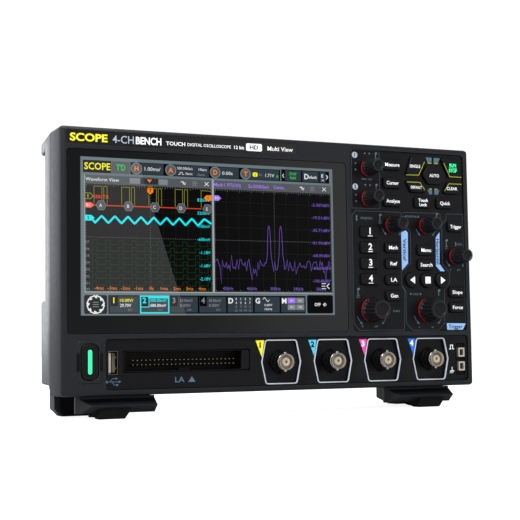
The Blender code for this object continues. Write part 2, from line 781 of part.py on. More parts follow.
def make_main_board():
    """The board with what is soldered to it: rear sockets, the heat sink and the probe test lugs."""
    board = add("main_board", box_mesh(*MAIN_BOARD, MAIN_FRONT, MAIN_BACK), "board")
    blocks = []
    cavities = []
    for x, drop, w, h, cavity_w, cavity_h, deep in REAR_SOCKETS.values():
        blocks.append(
            front_plate(rectangle(w, h), MAIN_BACK - 0.5, REAR_SOCKET_FACE, (x, drop))
        )
        mouth = (REAR_SOCKET_FACE - deep, REAR_SOCKET_FACE + 1)
        cavities.append(front_plate(rectangle(cavity_w, cavity_h), *mouth, (x, drop)))
    blocks.append(box_mesh(130, 180, 100, 136, MAIN_BACK - 0.5, 34.0))
    cavities += [box_mesh(133 + 8 * i, 137 + 8 * i, 99, 137, 23.0, 35.0) for i in range(6)]
    lugs = [comp_lug(drop) for drop in COMP_LUGS]
    combine(board, "UNION", *blocks, *[loop for loop, _, _ in lugs])
    combine(board, "DIFFERENCE", *cavities, *[hole for _, hole, _ in lugs])
    combine(board, "UNION", *[stem for _, _, stem in lugs])


def make_keypad_board():
    """The board behind the keys, with an encoder housing round each knob's shaft."""
    board = add("keypad_board", box_mesh(181.0, 260.6, 5.0, 113.4, BOARD_FRONT, 8.6), "board")
    width, height, front, back = ENCODER
    housings = [
        box_mesh(x - width / 2, x + width / 2, drop - height / 2, drop + height / 2, front - 0.2, back)
        for x, drop, _ in KNOBS.values()
    ]
    combine(board, "UNION", *housings)
    bore = circle(SHAFT_RADIUS + GAP, 12)
    bores = [front_plate(bore, BOARD_FRONT - 1, back + 1, (x, drop)) for x, drop, _ in KNOBS.values()]
    combine(board, "DIFFERENCE", *bores)


def make_chassis():
    """A folded sheet tray between the front parts and the main board."""
    left, right, front, back, sheet = 8.0, 257.2, 14.6, 38.0, 1.0
    outline = [
        (left, front),
        (right, front),
        (right, back),
        (right - sheet, back),
        (right - sheet, front + sheet),
        (left + sheet, front + sheet),
        (left + sheet, back),
        (left, back),
    ]
    add("chassis", plan_prism(outline, 6.0, 115.5), "steel")


def make_fan():
    x, drop = FAN
    half = FAN_SIDE / 2
    frame = add("fan_frame", box_mesh(x - half, x + half, drop - half, drop + half, FAN_FRONT, FAN_BACK), "fan")
    combine(frame, "DIFFERENCE", front_plate(circle(FAN_BORE, 24), FAN_FRONT - 1, FAN_BACK + 1, (x, drop)))
    across = 2 * FAN_BORE + 1.6
    arm = front_plate(rectangle(across, 2.4), FAN_BACK - 1.8, FAN_BACK - 0.4, (x, drop))
    post = front_plate(rectangle(2.4, across), FAN_BACK - 2.0, FAN_BACK - 0.2, (x, drop))
    seat = front_plate(circle(8.0, 12), FAN_BACK - 2.4, FAN_BACK - 0.1, (x, drop))
    for piece in (arm, post, seat):
        combine(frame, "UNION", piece)
    centre = at(x, drop, (FAN_FRONT + FAN_BACK) / 2)
    hub = cylinder_mesh(8.6, at(x, drop, FAN_FRONT + 0.8), at(x, drop, FAN_BACK - 3.2), 16)
    rotor = add("fan_rotor", hub, "fan", centre)
    blades = []
    for i in range(BLADES):
        blade = box_mesh(x + 7.6, x + 17.6, drop - 0.5, drop + 0.5, FAN_FRONT + 1.6, FAN_BACK - 4.2)
        turn = Matrix.Rotation(2 * math.pi * i / BLADES, 4, "Y") @ Matrix.Rotation(math.radians(38), 4, "X")
        blade.transform(Matrix.Translation(centre) @ turn @ Matrix.Translation(-centre))
        blades.append(blade)
    combine(rotor, "UNION", *blades)


def main():
    clear_scene()
    make_front_shell()
    make_rear_shell()
    make_control_panel()
    make_socket_panel()
    make_screen()
    make_keys()
    make_knobs()
    make_inputs()
    make_front_sockets()
    make_main_board()
    make_keypad_board()
    make_chassis()
    make_fan()
    make_legs()


main()
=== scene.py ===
"""The looks of a bench oscilloscope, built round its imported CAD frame.

Places on the front are given in millimetres: `x` from the left edge, `drop` down from the top edge and
`depth` back from the front face of the bezel. at() turns them into the frame's metres. Outlines are
(right, up) points from a centre.
"""

import json
import math
import random

import bmesh
import bpy
from mathutils import Matrix, Vector

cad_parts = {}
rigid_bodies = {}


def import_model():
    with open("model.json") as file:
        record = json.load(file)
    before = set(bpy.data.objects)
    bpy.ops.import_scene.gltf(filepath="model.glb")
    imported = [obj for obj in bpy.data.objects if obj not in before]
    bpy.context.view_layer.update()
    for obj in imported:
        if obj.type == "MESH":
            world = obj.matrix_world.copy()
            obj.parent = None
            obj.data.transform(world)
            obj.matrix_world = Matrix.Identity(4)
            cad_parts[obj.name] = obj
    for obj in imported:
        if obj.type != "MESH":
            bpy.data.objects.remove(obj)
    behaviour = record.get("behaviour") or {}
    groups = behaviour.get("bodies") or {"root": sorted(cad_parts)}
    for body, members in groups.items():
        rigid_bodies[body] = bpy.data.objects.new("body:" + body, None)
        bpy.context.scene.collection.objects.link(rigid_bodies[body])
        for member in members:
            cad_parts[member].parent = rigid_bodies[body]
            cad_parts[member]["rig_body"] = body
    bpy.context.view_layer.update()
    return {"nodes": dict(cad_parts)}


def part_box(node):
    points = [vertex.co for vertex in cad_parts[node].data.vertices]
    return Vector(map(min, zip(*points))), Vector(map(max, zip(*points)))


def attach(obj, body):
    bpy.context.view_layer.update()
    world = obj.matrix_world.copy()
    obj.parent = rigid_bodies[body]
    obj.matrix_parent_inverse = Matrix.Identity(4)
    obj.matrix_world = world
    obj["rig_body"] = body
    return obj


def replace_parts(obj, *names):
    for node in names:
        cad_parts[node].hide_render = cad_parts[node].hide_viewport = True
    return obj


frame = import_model()
NODES = frame["nodes"]

MM = 0.001
SHELL_LOW, SHELL_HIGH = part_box("front_shell")
ORIGIN = Vector((SHELL_LOW.x, SHELL_LOW.y, SHELL_HIGH.z))
INK = 0.03  # the thickness of one printed layer, in millimetres
CAP_HEIGHT = 0.682  # a capital letter's share of Blender's font size


def at(x, drop, depth=0.0):
    """The frame's point, in metres, of a place given on the front in millimetres."""
    return ORIGIN + Vector((x, depth, -drop)) * MM


def place(node):
    """A CAD node's box on the front: left, right, top, bottom, front and back in millimetres."""
    low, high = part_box(node)
    a, b = (low - ORIGIN) / MM, (high - ORIGIN) / MM
    return a.x, b.x, -b.z, -a.z, a.y, b.y


def middle(node):
    left, right, top, bottom, _, _ = place(node)
    return (left + right) / 2, (top + bottom) / 2


WIDTH = place("front_shell")[1]
GLASS_FACE = place("screen_glass")[4]
PANEL_FACE = place("control_panel")[4]
CAP_FACE = place("key_measure")[4]


def colour(red, green, blue):
    """A screen colour (0 to 255) as linear light."""
    shares = (red / 255, green / 255, blue / 255)
    return tuple(((c + 0.055) / 1.055) ** 2.4 if c > 0.04 else c / 12.92 for c in shares)


# Outlines.


def rounded(points, radius, steps=4):
    """The outline with each corner replaced by an arc."""
    made = []
    for i, here in enumerate(points):
        corner = Vector(here)
        before = (Vector(points[i - 1]) - corner).normalized()
        after = (Vector(points[(i + 1) % len(points)]) - corner).normalized()
        half = before.angle(after) / 2
        centre = corner + (before + after).normalized() * radius / math.sin(half)
        reach = radius / math.tan(half)
        start = corner + before * reach - centre
        swing = start.angle_signed(corner + after * reach - centre)
        for k in range(steps + 1):
            arm = start.copy()
            arm.rotate(Matrix.Rotation(-swing * k / steps, 2))
            made.append(tuple(centre + arm))
    return made


def rectangle(width, height, radius=0.0, steps=4):
    w, h = width / 2, height / 2
    corners = [(-w, -h), (w, -h), (w, h), (-w, h)]
    return rounded(corners, radius, steps) if radius else corners


def circle(radius, sides):
    turns = [2 * math.pi * i / sides for i in range(sides)]
    return [(radius * math.cos(a), radius * math.sin(a)) for a in turns]


def signed_area(points):
    return sum(a[0] * b[1] - b[0] * a[1] for a, b in zip(points[-1:] + points[:-1], points)) / 2


def grown(points, by):
    """The outline moved outwards by a distance."""
    side = by if signed_area(points) > 0 else -by
    made = []
    for i, here in enumerate(points):
        corner = Vector(here)
        a = (corner - Vector(points[i - 1])).normalized()
        b = (Vector(points[(i + 1) % len(points)]) - corner).normalized()
        normal_a, normal_b = Vector((a.y, -a.x)), Vector((b.y, -b.x))
        mitre = (normal_a + normal_b).normalized()
        made.append(tuple(corner + mitre * side / max(mitre.dot(normal_a), 0.3)))
    return made


def hexagon(middle_half, end_half, half_height):
    lower = [(-middle_half, 0.0), (-end_half, -half_height), (end_half, -half_height)]
    return lower + [(-u, -v) for u, v in lower]


def strip_outline(points, width, closed):
    """The two edges of a line of that width along some points, with mitred corners."""
    count = len(points)
    sides = ([], [])
    for i, here in enumerate(points):
        corner = Vector(here)
        before = corner - Vector(points[i - 1]) if closed or i else None
        after = Vector(points[(i + 1) % count]) - corner if closed or i < count - 1 else None
        a = (before or after).normalized()
        b = (after or before).normalized()
        normal = Vector((-a.y - b.y, a.x + b.x))
        normal = normal.normalized() if normal.length > 1e-6 else Vector((-a.y, a.x))
        reach = min(width / 2 / max(normal.dot(Vector((-a.y, a.x))), 0.2), width * 1.6)
        sides[0].append(tuple(corner + normal * reach))
        sides[1].append(tuple(corner - normal * reach))
    return sides


# Solids.


def bridge(bm, loops, closed=False):
    """Walls between neighbouring loops of points. A closed solid also joins its last loop to its first."""
    pairs = list(zip(loops, loops[1:]))
    if closed:
        pairs.append((loops[-1], loops[0]))
    for a, b in pairs:
        for i in range(len(a)):
            bm.faces.new((a[i - 1], a[i], b[i], b[i - 1]))


def loft(bm, centre, rings, closed=False):
    """A solid through (outline, depth) rings, with two flat ends or, when closed, as a frame round a hole."""
    x, drop = centre
    loops = [[bm.verts.new(at(x + u, drop - v, depth)) for u, v in outline] for outline, depth in rings]
    bridge(bm, loops, closed)
    if not closed:
        bm.faces.new(loops[0])
        bm.faces.new(list(reversed(loops[-1])))


def lathe(bm, centre, profile, sides, flutes=0):
    """A turned solid on the depth axis. Its profile, from the front, is radius, depth and flute depth."""
    x, drop = centre
    loops = []
    for radius, depth, *cut in profile:
        if radius == 0:
            loops.append([bm.verts.new(at(x, drop, depth))])
            continue
        loop = []
        for i in range(sides):
            turn = 2 * math.pi * i / sides
            hollow = cut[0] * (0.5 - 0.5 * math.cos(flutes * turn)) ** 0.6 if cut else 0.0
            r = radius - hollow
            loop.append(bm.verts.new(at(x + r * math.cos(turn), drop - r * math.sin(turn), depth)))
        loops.append(loop)
    for a, b in zip(loops, loops[1:]):
        if len(a) == len(b):
            bridge(bm, (a, b))
            continue
        for i in range(sides):
            bm.faces.new((a[0], b[i], b[i - 1]) if len(a) == 1 else (a[i - 1], a[i], b[0]))
    for loop, flip in ((loops[0], False), (loops[-1], True)):
        if len(loop) > 1:
            bm.faces.new(list(reversed(loop)) if flip else loop)


def block(bm, left, right, top, bottom, front, back, bevel):
    """A box on the front, with its edges rounded."""
    low, high = at(left, bottom, front), at(right, top, back)
    size = Matrix.Diagonal((*(high - low), 1.0))
    made = bmesh.ops.create_cube(bm, size=1.0, matrix=Matrix.Translation((low + high) / 2) @ size)
    edges = {e for v in made["verts"] for e in v.link_edges}
    bmesh.ops.bevel(bm, geom=list(edges), offset=bevel * MM, segments=2, profile=0.5, affect="EDGES")


# Pieces.


def piece(name, bm, surface, body, smooth=35.0):
    """Makes the piece, which rides on a CAD body and takes the finish it is given."""
    bmesh.ops.recalc_face_normals(bm, faces=bm.faces)
    mesh = bpy.data.meshes.new(name)
    bm.to_mesh(mesh)
    bm.free()
    mesh.polygons.foreach_set("use_smooth", [True] * len(mesh.polygons))
    mesh.set_sharp_from_angle(angle=math.radians(smooth))
    obj = bpy.data.objects.new(name, mesh)
    for item in surface if isinstance(surface, list) else [surface]:
        mesh.materials.append(item)
    bpy.context.scene.collection.objects.link(obj)
    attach(obj, body)
    return obj


def turned(name, centre, profile, surface, body, sides):
    bm = bmesh.new()
    lathe(bm, centre, profile, sides)
    return piece(name, bm, surface, body)


def lofted(name, centre, rings, surface, body, closed=False, smooth=35.0):
    bm = bmesh.new()
    loft(bm, centre, rings, closed)
    return piece(name, bm, surface, body, smooth)


def boxes(name, sizes, surface, body):
    """One piece of rounded boxes: left, right, top, bottom, front, back and bevel of each."""
    bm = bmesh.new()
    for size in sizes:
        block(bm, *size)
    return piece(name, bm, surface, body)


def refined(node, name, surface, bevel, segments=2, angle=32.0, smooth=50.0):
    """A piece that stands for a CAD node: its exact shape, with flat faces whole and edges softened."""
    bm = bmesh.new()
    bm.from_mesh(NODES[node].data)
    bmesh.ops.remove_doubles(bm, verts=bm.verts, dist=2e-6)
    bmesh.ops.dissolve_limit(bm, angle_limit=math.radians(0.6), verts=bm.verts, edges=bm.edges)
    obj = piece(name, bm, surface, NODES[node]["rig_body"], smooth)
    if bevel:
        edge = obj.modifiers.new("edge", "BEVEL")
        edge.width = bevel * MM
        edge.segments = segments
        edge.limit_method = "ANGLE"
        edge.angle_limit = math.radians(angle)
        edge.harden_normals = True
    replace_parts(obj, node)
    return obj


def paint(obj, chosen):
    """Gives each face the finish whose number `chosen` returns for the face's middle."""
    for face in obj.data.polygons:
        face.material_index = chosen(face.center)


# Flat marks: thin closed shapes, grouped into one piece for each colour and body.


class Marks:
    def __init__(self, face=PANEL_FACE):
        self.bm = bmesh.new()
        self.face = face

    def depths(self, layer):
        """The front and back of a printed layer. Layer 0 lies on the face, and each next one before it."""
        back = self.face - INK * layer
        return back - INK, back

    def shape(self, points, layer=0):
        """A filled shape of (x, drop) places."""
        front, back = self.depths(layer)
        loft(self.bm, (0.0, 0.0), [([(x, -drop) for x, drop in points], depth) for depth in (front, back)])

    def box(self, left, right, top, bottom, layer=0, radius=0.0):
        x, drop = (left + right) / 2, (top + bottom) / 2
        outline = rectangle(right - left, bottom - top, radius, 3)
        self.shape([(x + u, drop - v) for u, v in outline], layer)

    def disc(self, x, drop, radius, layer=0, sides=20):
        self.shape([(x + u, drop - v) for u, v in circle(radius, sides)], layer)

    def line(self, points, width, layer=0, closed=False):
        """A line along (x, drop) places, in one solid strip."""
        sides = strip_outline(points, width, closed)
        new = self.bm.verts.new
        rows = [[new(at(*p, depth)) for p in side] for depth in self.depths(layer) for side in sides]
        count = len(points)
        for i in range(count if closed else count - 1):
            j = (i + 1) % count
            for a, b in ((0, 1), (1, 3), (3, 2), (2, 0)):
                self.bm.faces.new((rows[a][i], rows[a][j], rows[b][j], rows[b][i]))
        if not closed:
            for i in (0, count - 1):
                self.bm.faces.new((rows[0][i], rows[1][i], rows[3][i], rows[2][i]))

    def dots(self, start, end, pitch, size, layer):
        a, b = Vector(start), Vector(end)
        count = max(int((b - a).length / pitch), 1)
        for i in range(count + 1):
            x, drop = a.lerp(b, i / count)
            self.box(x - size / 2, x + size / 2, drop - size / 2, drop + size / 2, layer)

    def text(self, words, x, drop, cap, width=None, layer=0, bold=0.0, turn=0.0, anchor=0.5, fine=2):
        """Words centred on a place (or anchored at another share of their width), `cap` millimetres tall."""
        font = bpy.data.curves.new("words", "FONT")
        font.body = words
        font.size = 1.0
        font.offset = bold
        font.resolution_u = fine
        font.extrude = INK / 2
        guide = bpy.data.objects.new("words", font)
        mesh = guide.to_mesh()
        tall = CAP_HEIGHT + 2 * bold
        points = [v.co for v in mesh.vertices]
        low, high = min(p.x for p in points), max(p.x for p in points)
        scale = cap / tall
        wide = width / (high - low) if width else scale
        centre_depth = sum(self.depths(layer)) / 2
        c, s = math.cos(math.radians(turn)), math.sin(math.radians(turn))
        start = len(self.bm.verts)
        for v in mesh.vertices:
            u = (v.co.x - low - (high - low) * anchor) * wide
            w = (v.co.y + bold - tall / 2) * scale
            v.co = at(x + u * c - w * s, drop - u * s - w * c, centre_depth - v.co.z)
        self.bm.from_mesh(mesh)
        self.bm.verts.ensure_lookup_table()
        bmesh.ops.remove_doubles(self.bm, verts=self.bm.verts[start:], dist=1e-7)
        guide.to_mesh_clear()
        bpy.data.objects.remove(guide)
        bpy.data.curves.remove(font)

    def pointer(self, x, drop, side, reach, tail, half):
        """A triangle that points left (-1) or right (1)."""
        self.shape([(x + side * reach, drop), (x - side * tail, drop - half), (x - side * tail, drop + half)])

    def made(self, name, surface, body="base", slot="fascia"):
        return piece(name, self.bm, surface, body, 30.0)


# Materials.


class Surface:
    """A procedural material, built from noise at the sizes that its methods are given."""

    def __init__(self, name):
        self.material = bpy.data.materials.new(name)
        self.material.use_nodes = True
        self.tree = self.material.node_tree
        self.shader = self.tree.nodes["Principled BSDF"]
        self.place = self.node("ShaderNodeTexCoord").outputs["Object"]

    def node(self, kind, **values):
        made = self.tree.nodes.new(kind)
        for key, value in values.items():
            setattr(made, key, value)
        return made

    def link(self, output, target):
        self.tree.links.new(output, target)

    def noise(self, size, detail, stretch=None):
        """Noise with features of about `size` millimetres."""
        made = self.node("ShaderNodeTexNoise")
        made.inputs["Scale"].default_value = 1 / (size * MM)
        made.inputs["Detail"].default_value = detail
        source = self.place
        if stretch:
            mapping = self.node("ShaderNodeMapping")
            mapping.inputs["Scale"].default_value = stretch
            self.link(source, mapping.inputs["Vector"])
            source = mapping.outputs["Vector"]
        self.link(source, made.inputs["Vector"])
        return made.outputs["Fac"]

    def spread(self, value, low, high, start=0.3, end=0.7):
        made = self.node("ShaderNodeMapRange")
        made.inputs["From Min"].default_value = start
        made.inputs["From Max"].default_value = end
        made.inputs["To Min"].default_value = low
        made.inputs["To Max"].default_value = high
        self.link(value, made.inputs["Value"])
        return made.outputs["Result"]

    def mix(self, factor, first, second):
        made = self.node("ShaderNodeMix", data_type="RGBA")
        self.link(factor, made.inputs["Factor"])
        for socket, value in ((made.inputs["A"], first), (made.inputs["B"], second)):
            if isinstance(value, tuple):
                socket.default_value = (*value, 1.0)
            else:
                self.link(value, socket)
        return made.outputs["Result"]

    def edges(self, radius):
        """1 at an edge of the shape and 0 on its flats, broken up by noise."""
        bevel = self.node("ShaderNodeBevel", samples=4)
        bevel.inputs["Radius"].default_value = radius * MM
        geometry = self.node("ShaderNodeNewGeometry")
        turn = self.node("ShaderNodeVectorMath", operation="DOT_PRODUCT")
        self.link(bevel.outputs["Normal"], turn.inputs[0])
        self.link(geometry.outputs["Normal"], turn.inputs[1])
        edge = self.spread(turn.outputs["Value"], 1.0, 0.0, 0.86, 0.995)
        broken = self.spread(self.noise(1.6, 5.0), 0.1, 1.0, 0.35, 0.6)
        both = self.node("ShaderNodeMath", operation="MULTIPLY")
        self.link(edge, both.inputs[0])
        self.link(broken, both.inputs[1])
        return both.outputs["Value"]


def scaled(base, by):
    return tuple(min(c * by, 1.0) for c in base)


def surface(
    name, base, rough, mottle=0.07, patch=4.0, grain=0.35, relief=0.25,
    metallic=0.0, specular=0.5, wear=0.0, glow=0.0, brushed=None,
):
    """A finish. `patch` and `grain` are the sizes of its noise in millimetres, and `wear` lightens edges."""
    made = Surface(name)
    shader = made.shader
    broad, fine = made.noise(patch, 4.0), made.noise(grain, 2.0, brushed)
    shade = made.mix(made.spread(broad, 0.0, 1.0), scaled(base, 1 - mottle), scaled(base, 1 + mottle))
    shade = made.mix(made.spread(fine, 0.0, 0.5), shade, scaled(base, 1 + mottle * 0.8))
    if wear:
        worn = made.spread(made.edges(0.45), 0.0, wear, 0.0, 1.0)
        shade = made.mix(worn, shade, tuple(c * 0.5 + 0.16 for c in base))
    made.link(shade, shader.inputs["Base Color"])
    swing = 0.09 * rough + 0.01
    made.link(made.spread(broad, rough - swing, rough + swing, 0.25, 0.75), shader.inputs["Roughness"])
    shader.inputs["Metallic"].default_value = metallic
    shader.inputs["Specular IOR Level"].default_value = specular
    # Glow makes the finish give off light. On the green light it is a lamp; on every other finish it is
    # painted light.
    if glow:
        made.link(shade, shader.inputs["Emission Color"])
        shader.inputs["Emission Strength"].default_value = glow
    if relief:
        bump = made.node("ShaderNodeBump")
        bump.inputs["Strength"].default_value = relief
        bump.inputs["Distance"].default_value = grain * 0.12 * MM
        made.link(fine, bump.inputs["Height"])
        made.link(bump.outputs["Normal"], shader.inputs["Normal"])
    return made.material


def screen_ink(name, base):
    """A lit part of the display under its glass: black, with its own light and the gloss of the glass."""
    made = Surface(name)
    shader = made.shader
    lit = made.mix(made.spread(made.noise(9.0, 2.0), 0.0, 1.0), scaled(base, 0.95), scaled(base, 1.05))
    cells = made.spread(made.noise(0.2, 0.0), 0.0, 1.0)
    lit = made.mix(cells, lit, scaled(base, 1.02))
    made.link(lit, shader.inputs["Emission Color"])
    shader.inputs["Emission Strength"].default_value = 1.0
    shader.inputs["Base Color"].default_value = (0.0, 0.0, 0.0, 1.0)
    rough = made.spread(made.noise(30.0, 3.0), 0.16, 0.24)
    made.link(rough, shader.inputs["Roughness"])
    shader.inputs["Specular IOR Level"].default_value = 0.05
    return made.material


def haze():
    """A clear film that adds a faint light: a painted reflection across the left of the display."""
    made = Surface("haze")
    light = made.node("ShaderNodeEmission")
    made.link(made.mix(made.noise(40.0, 2.0), (0.95, 0.95, 0.95), (1.0, 1.0, 1.0)), light.inputs["Color"])
    light.inputs["Strength"].default_value = 0.016
    both = made.node("ShaderNodeAddShader")
    made.link(light.outputs["Emission"], both.inputs[0])
    made.link(made.node("ShaderNodeBsdfTransparent").outputs["BSDF"], both.inputs[1])
    made.link(both.outputs["Shader"], made.tree.nodes["Material Output"].inputs["Surface"])
    return made.material


PLAIN_FINISHES = {
    "housing": ((31, 33, 38), 0.46, dict(wear=0.25, relief=0.35, grain=0.3)),
    "rear": ((44, 46, 50), 0.42, dict(wear=0.25, relief=0.35, grain=0.3)),
    "fascia": ((17, 17, 20), 0.42, dict(grain=0.25, specular=0.28)),
    "key": ((16, 16, 19), 0.5, dict(relief=0.3, grain=0.2, wear=0.12, specular=0.32)),
    "knob": ((22, 22, 24), 0.36, dict(relief=0.2, grain=0.15, wear=0.3, specular=0.6)),
    "knob_face": ((22, 22, 24), 0.5, dict(relief=0.3, grain=0.15, specular=0.35)),
    # The red rings' glow is painted light: they are no lamps.
    "ring": ((205, 28, 44), 0.35, dict(mottle=0.1, relief=0.1, glow=0.35)),
    "glass": ((6, 6, 6), 0.2, dict(relief=0.02, patch=40.0, mottle=0.08)),
    "rubber": ((11, 11, 12), 0.72, dict(relief=0.5, grain=0.25, specular=0.3)),
    # The insulator's glow is painted light that lifts the shade in the sockets' hollows.
    "insulator": ((240, 234, 214), 0.35, dict(mottle=0.05, relief=0.08, patch=2.0, glow=0.06)),
    "board": ((18, 74, 44), 0.4, dict(mottle=0.2, relief=0.3, patch=6.0)),
    "socket": ((9, 9, 10), 0.5, dict(relief=0.2, grain=0.2, specular=0.22)),
    "fan": ((16, 16, 17), 0.5, dict(relief=0.2)),
    # The rims' glow is painted light that makes them read bright.
    "rim": ((206, 213, 224), 0.35, dict(mottle=0.08, relief=0.08, patch=5.0, glow=0.4)),
    "badge": ((30, 28, 22), 0.3, dict(relief=0.05, grain=0.2)),
    "green_light": ((58, 255, 160), 0.35, dict(mottle=0.04, relief=0.05, glow=0.9)),
}
METALS = {
    # The nickel's glow is painted light.
    "nickel": ((214, 206, 194), 0.24, dict(mottle=0.1, relief=0.1, grain=0.2, patch=3.0, glow=0.1)),
    "steel": ((168, 170, 174), 0.36, dict(relief=0.15, brushed=(1, 1, 18))),
    "gold": ((222, 168, 80), 0.25, dict(mottle=0.12, relief=0.1, patch=2.0)),
    "usb_rim": ((136, 130, 116), 0.34, dict(mottle=0.1, relief=0.1, patch=2.0)),
    # The glowing gold of the small boxes that are painted highlights on the logic pins.
    "pin": ((238, 214, 156), 0.3, dict(mottle=0.1, relief=0.1, patch=2.0, glow=0.3)),
}
# Each print: its colour, roughness, mottle and glow. The glow is painted light: the prints give off light
# though they are no lamps.
PRINTS = {
    "white_print": ((240, 242, 244), 0.45, 0.04, 0.7),
    "grey_print": ((172, 186, 202), 0.45, 0.05, 0.5),
    "dim_print": ((112, 134, 146), 0.5, 0.08, 0.2),
    "line_print": ((66, 86, 96), 0.5, 0.08, 0.1),
    "slate_print": ((96, 130, 156), 0.5, 0.08, 0.15),
    "sky_print": ((150, 192, 246), 0.45, 0.05, 0.55),
    "navy_print": ((6, 9, 20), 0.45, 0.06, 0.0),
    "yellow_print": ((250, 240, 40), 0.45, 0.04, 0.55),
    "olive_print": ((196, 196, 50), 0.45, 0.06, 0.15),
    "cyan_print": ((84, 206, 236), 0.45, 0.04, 0.55),
    "pink_print": ((246, 70, 176), 0.45, 0.04, 0.55),
    "blue_print": ((40, 112, 236), 0.45, 0.04, 0.55),
}
SCREEN_INKS = {
    "border": (104, 118, 124), "black": (4, 4, 5), "plot": (10, 10, 11), "slate": (48, 58, 66),
    "bar": (84, 88, 92), "edge": (158, 164, 167), "grid": (34, 35, 36), "dot": (128, 128, 128),
    "grey": (126, 131, 135), "white": (232, 236, 238), "yellow": (246, 238, 40), "olive": (146, 140, 32),
    "cyan": (20, 232, 240), "orange": (244, 128, 20), "amber": (190, 96, 20), "red": (226, 66, 24),
    "salmon": (250, 104, 92), "green": (36, 196, 72), "moss": (14, 62, 22), "purple": (108, 82, 172),
    "violet": (160, 120, 236),
}


def finishes():
    made = {}
    for table, metallic in ((PLAIN_FINISHES, 0.0), (METALS, 1.0)):
        for name, (rgb, rough, more) in table.items():
            made[name] = surface(name, colour(*rgb), rough, metallic=metallic, **more)
    for name, (rgb, rough, mottle, glow) in PRINTS.items():
        made[name] = surface(name, colour(*rgb), rough, mottle=mottle, relief=0.08, glow=glow)
    return made


FINISH = finishes()


# Housing.


def make_housing():
    refined("front_shell", "front_housing", FINISH["housing"], bevel=0.5, segments=3, angle=30)
    refined("rear_shell", "rear_housing", FINISH["rear"], bevel=0.4, angle=30)
    make_rear_foot_pads()
    for side, left in (("left", 11.6), ("right", 206.6)):
        rib = (left, left + 42.8, 148.7, 149.6, 10.4, 13.2, 0.1)
        boxes(f"leg_rib_{side}", [rib], FINISH["housing"], "base")
    make_rear_screws()


def make_rear_foot_pads():
    """Rubber boots round the rear feet. The right one is the left one mirrored."""
    bottom = place("rear_shell")[3]
    middle_drop = 150.0
    boot = ((11.2, 147.0), (37.6, 147.0), (37.6, 157.4), (29.2, bottom), (14.4, bottom), (11.2, 158.6))
    for side, mirror in (("left", 1), ("right", -1)):
        outline = [(mirror * (x - WIDTH / 2), middle_drop - drop) for x, drop in boot][::-mirror]
        inner = grown(outline, -0.3)
        rings = ((inner, 46.0), (outline, 46.3), (outline, 57.2), (inner, 57.5))
        lofted(f"rear_foot_pad_{side}", (WIDTH / 2, middle_drop), rings, FINISH["rubber"], "base")


def make_rear_screws():
    """Socket-head screws on the wall of the recess."""
    wall, inset = 46.5, 20
    head = ((0, -0.8), (2.2, -0.8), (2.2, 0.5), (1.9, 0.8), (1.1, 0.8), (1.1, 0.1), (0, 0.1))
    profile = [(radius, wall + depth) for radius, depth in head]
    places = ((inset, 16), (WIDTH - inset, 16), (inset, 88), (WIDTH - inset, 88), (132, 16))
    for number, centre in enumerate(places, 1):
        turned(f"rear_screw_{number}", centre, profile, FINISH["steel"], "base", 24)


BADGE_FACE = 0.06
# Each line of words: its finish, words, left end, drop, height, width and weight.
BADGE_WORDS = (
    ("yellow_print", "SCOPE", 5.6, 6.2, 4.4, 21.5, 0.03),
    ("grey_print", "4-CH", 30.0, 6.3, 4.2, 12.4, 0.005),
    ("white_print", "BENCH", 43.6, 6.3, 4.2, 15.2, 0.03),
    ("white_print", "TOUCH", 61.6, 6.9, 2.2, 11.6, 0.02),
    ("white_print", "DIGITAL OSCILLOSCOPE", 74.6, 6.9, 1.7, 27.0, 0.01),
    ("white_print", "12 bit", 103.6, 6.9, 1.9, 6.4, 0.02),
    ("white_print", "Multi View", 125.0, 6.4, 2.5, 16.6, 0.01),
)


def make_badge():
    left, right, top, bottom = 3.7, 143.9, 2.6, 9.6
    outline = rectangle(right - left, bottom - top, 0.8)
    rings = ((grown(outline, -0.1), 0.06), (outline, 0.14), (outline, 0.29))
    lofted("badge_strip", ((left + right) / 2, (top + bottom) / 2), rings, FINISH["badge"], "base")
    words = {name: Marks(BADGE_FACE) for name in ("yellow_print", "grey_print", "white_print")}
    for name, text, start, drop, cap, width, bold in BADGE_WORDS:
        words[name].text(text, start, drop, cap, width, bold=bold, anchor=0.0, fine=4 if cap > 4 else 2)
    x, drop = 116.3, 6.3
    words["white_print"].shape([(x + u, drop - v) for u, v in rectangle(10.2, 4.4, 0.9)])
    dark = Marks(BADGE_FACE - INK)
    dark.text("HD", x, drop, 2.5, 5.6, bold=0.03)
    dark.made("badge_dark_words", FINISH["socket"])
    for name, marks in words.items():
        marks.made(f"badge_{name}", FINISH[name])


def make_legs():
    """The legs with their rubber pads, which are the part below the leg itself."""
    pad_top = at(0, 158.62).z
    for name in ("leg_left", "leg_right"):
        finish = [FINISH["housing"], FINISH["rubber"]]
        obj = refined(name, f"{name}_body", finish, bevel=0.45, segments=3, angle=25, smooth=35)
        paint(obj, lambda c: int(c.z < pad_top))


# Controls.


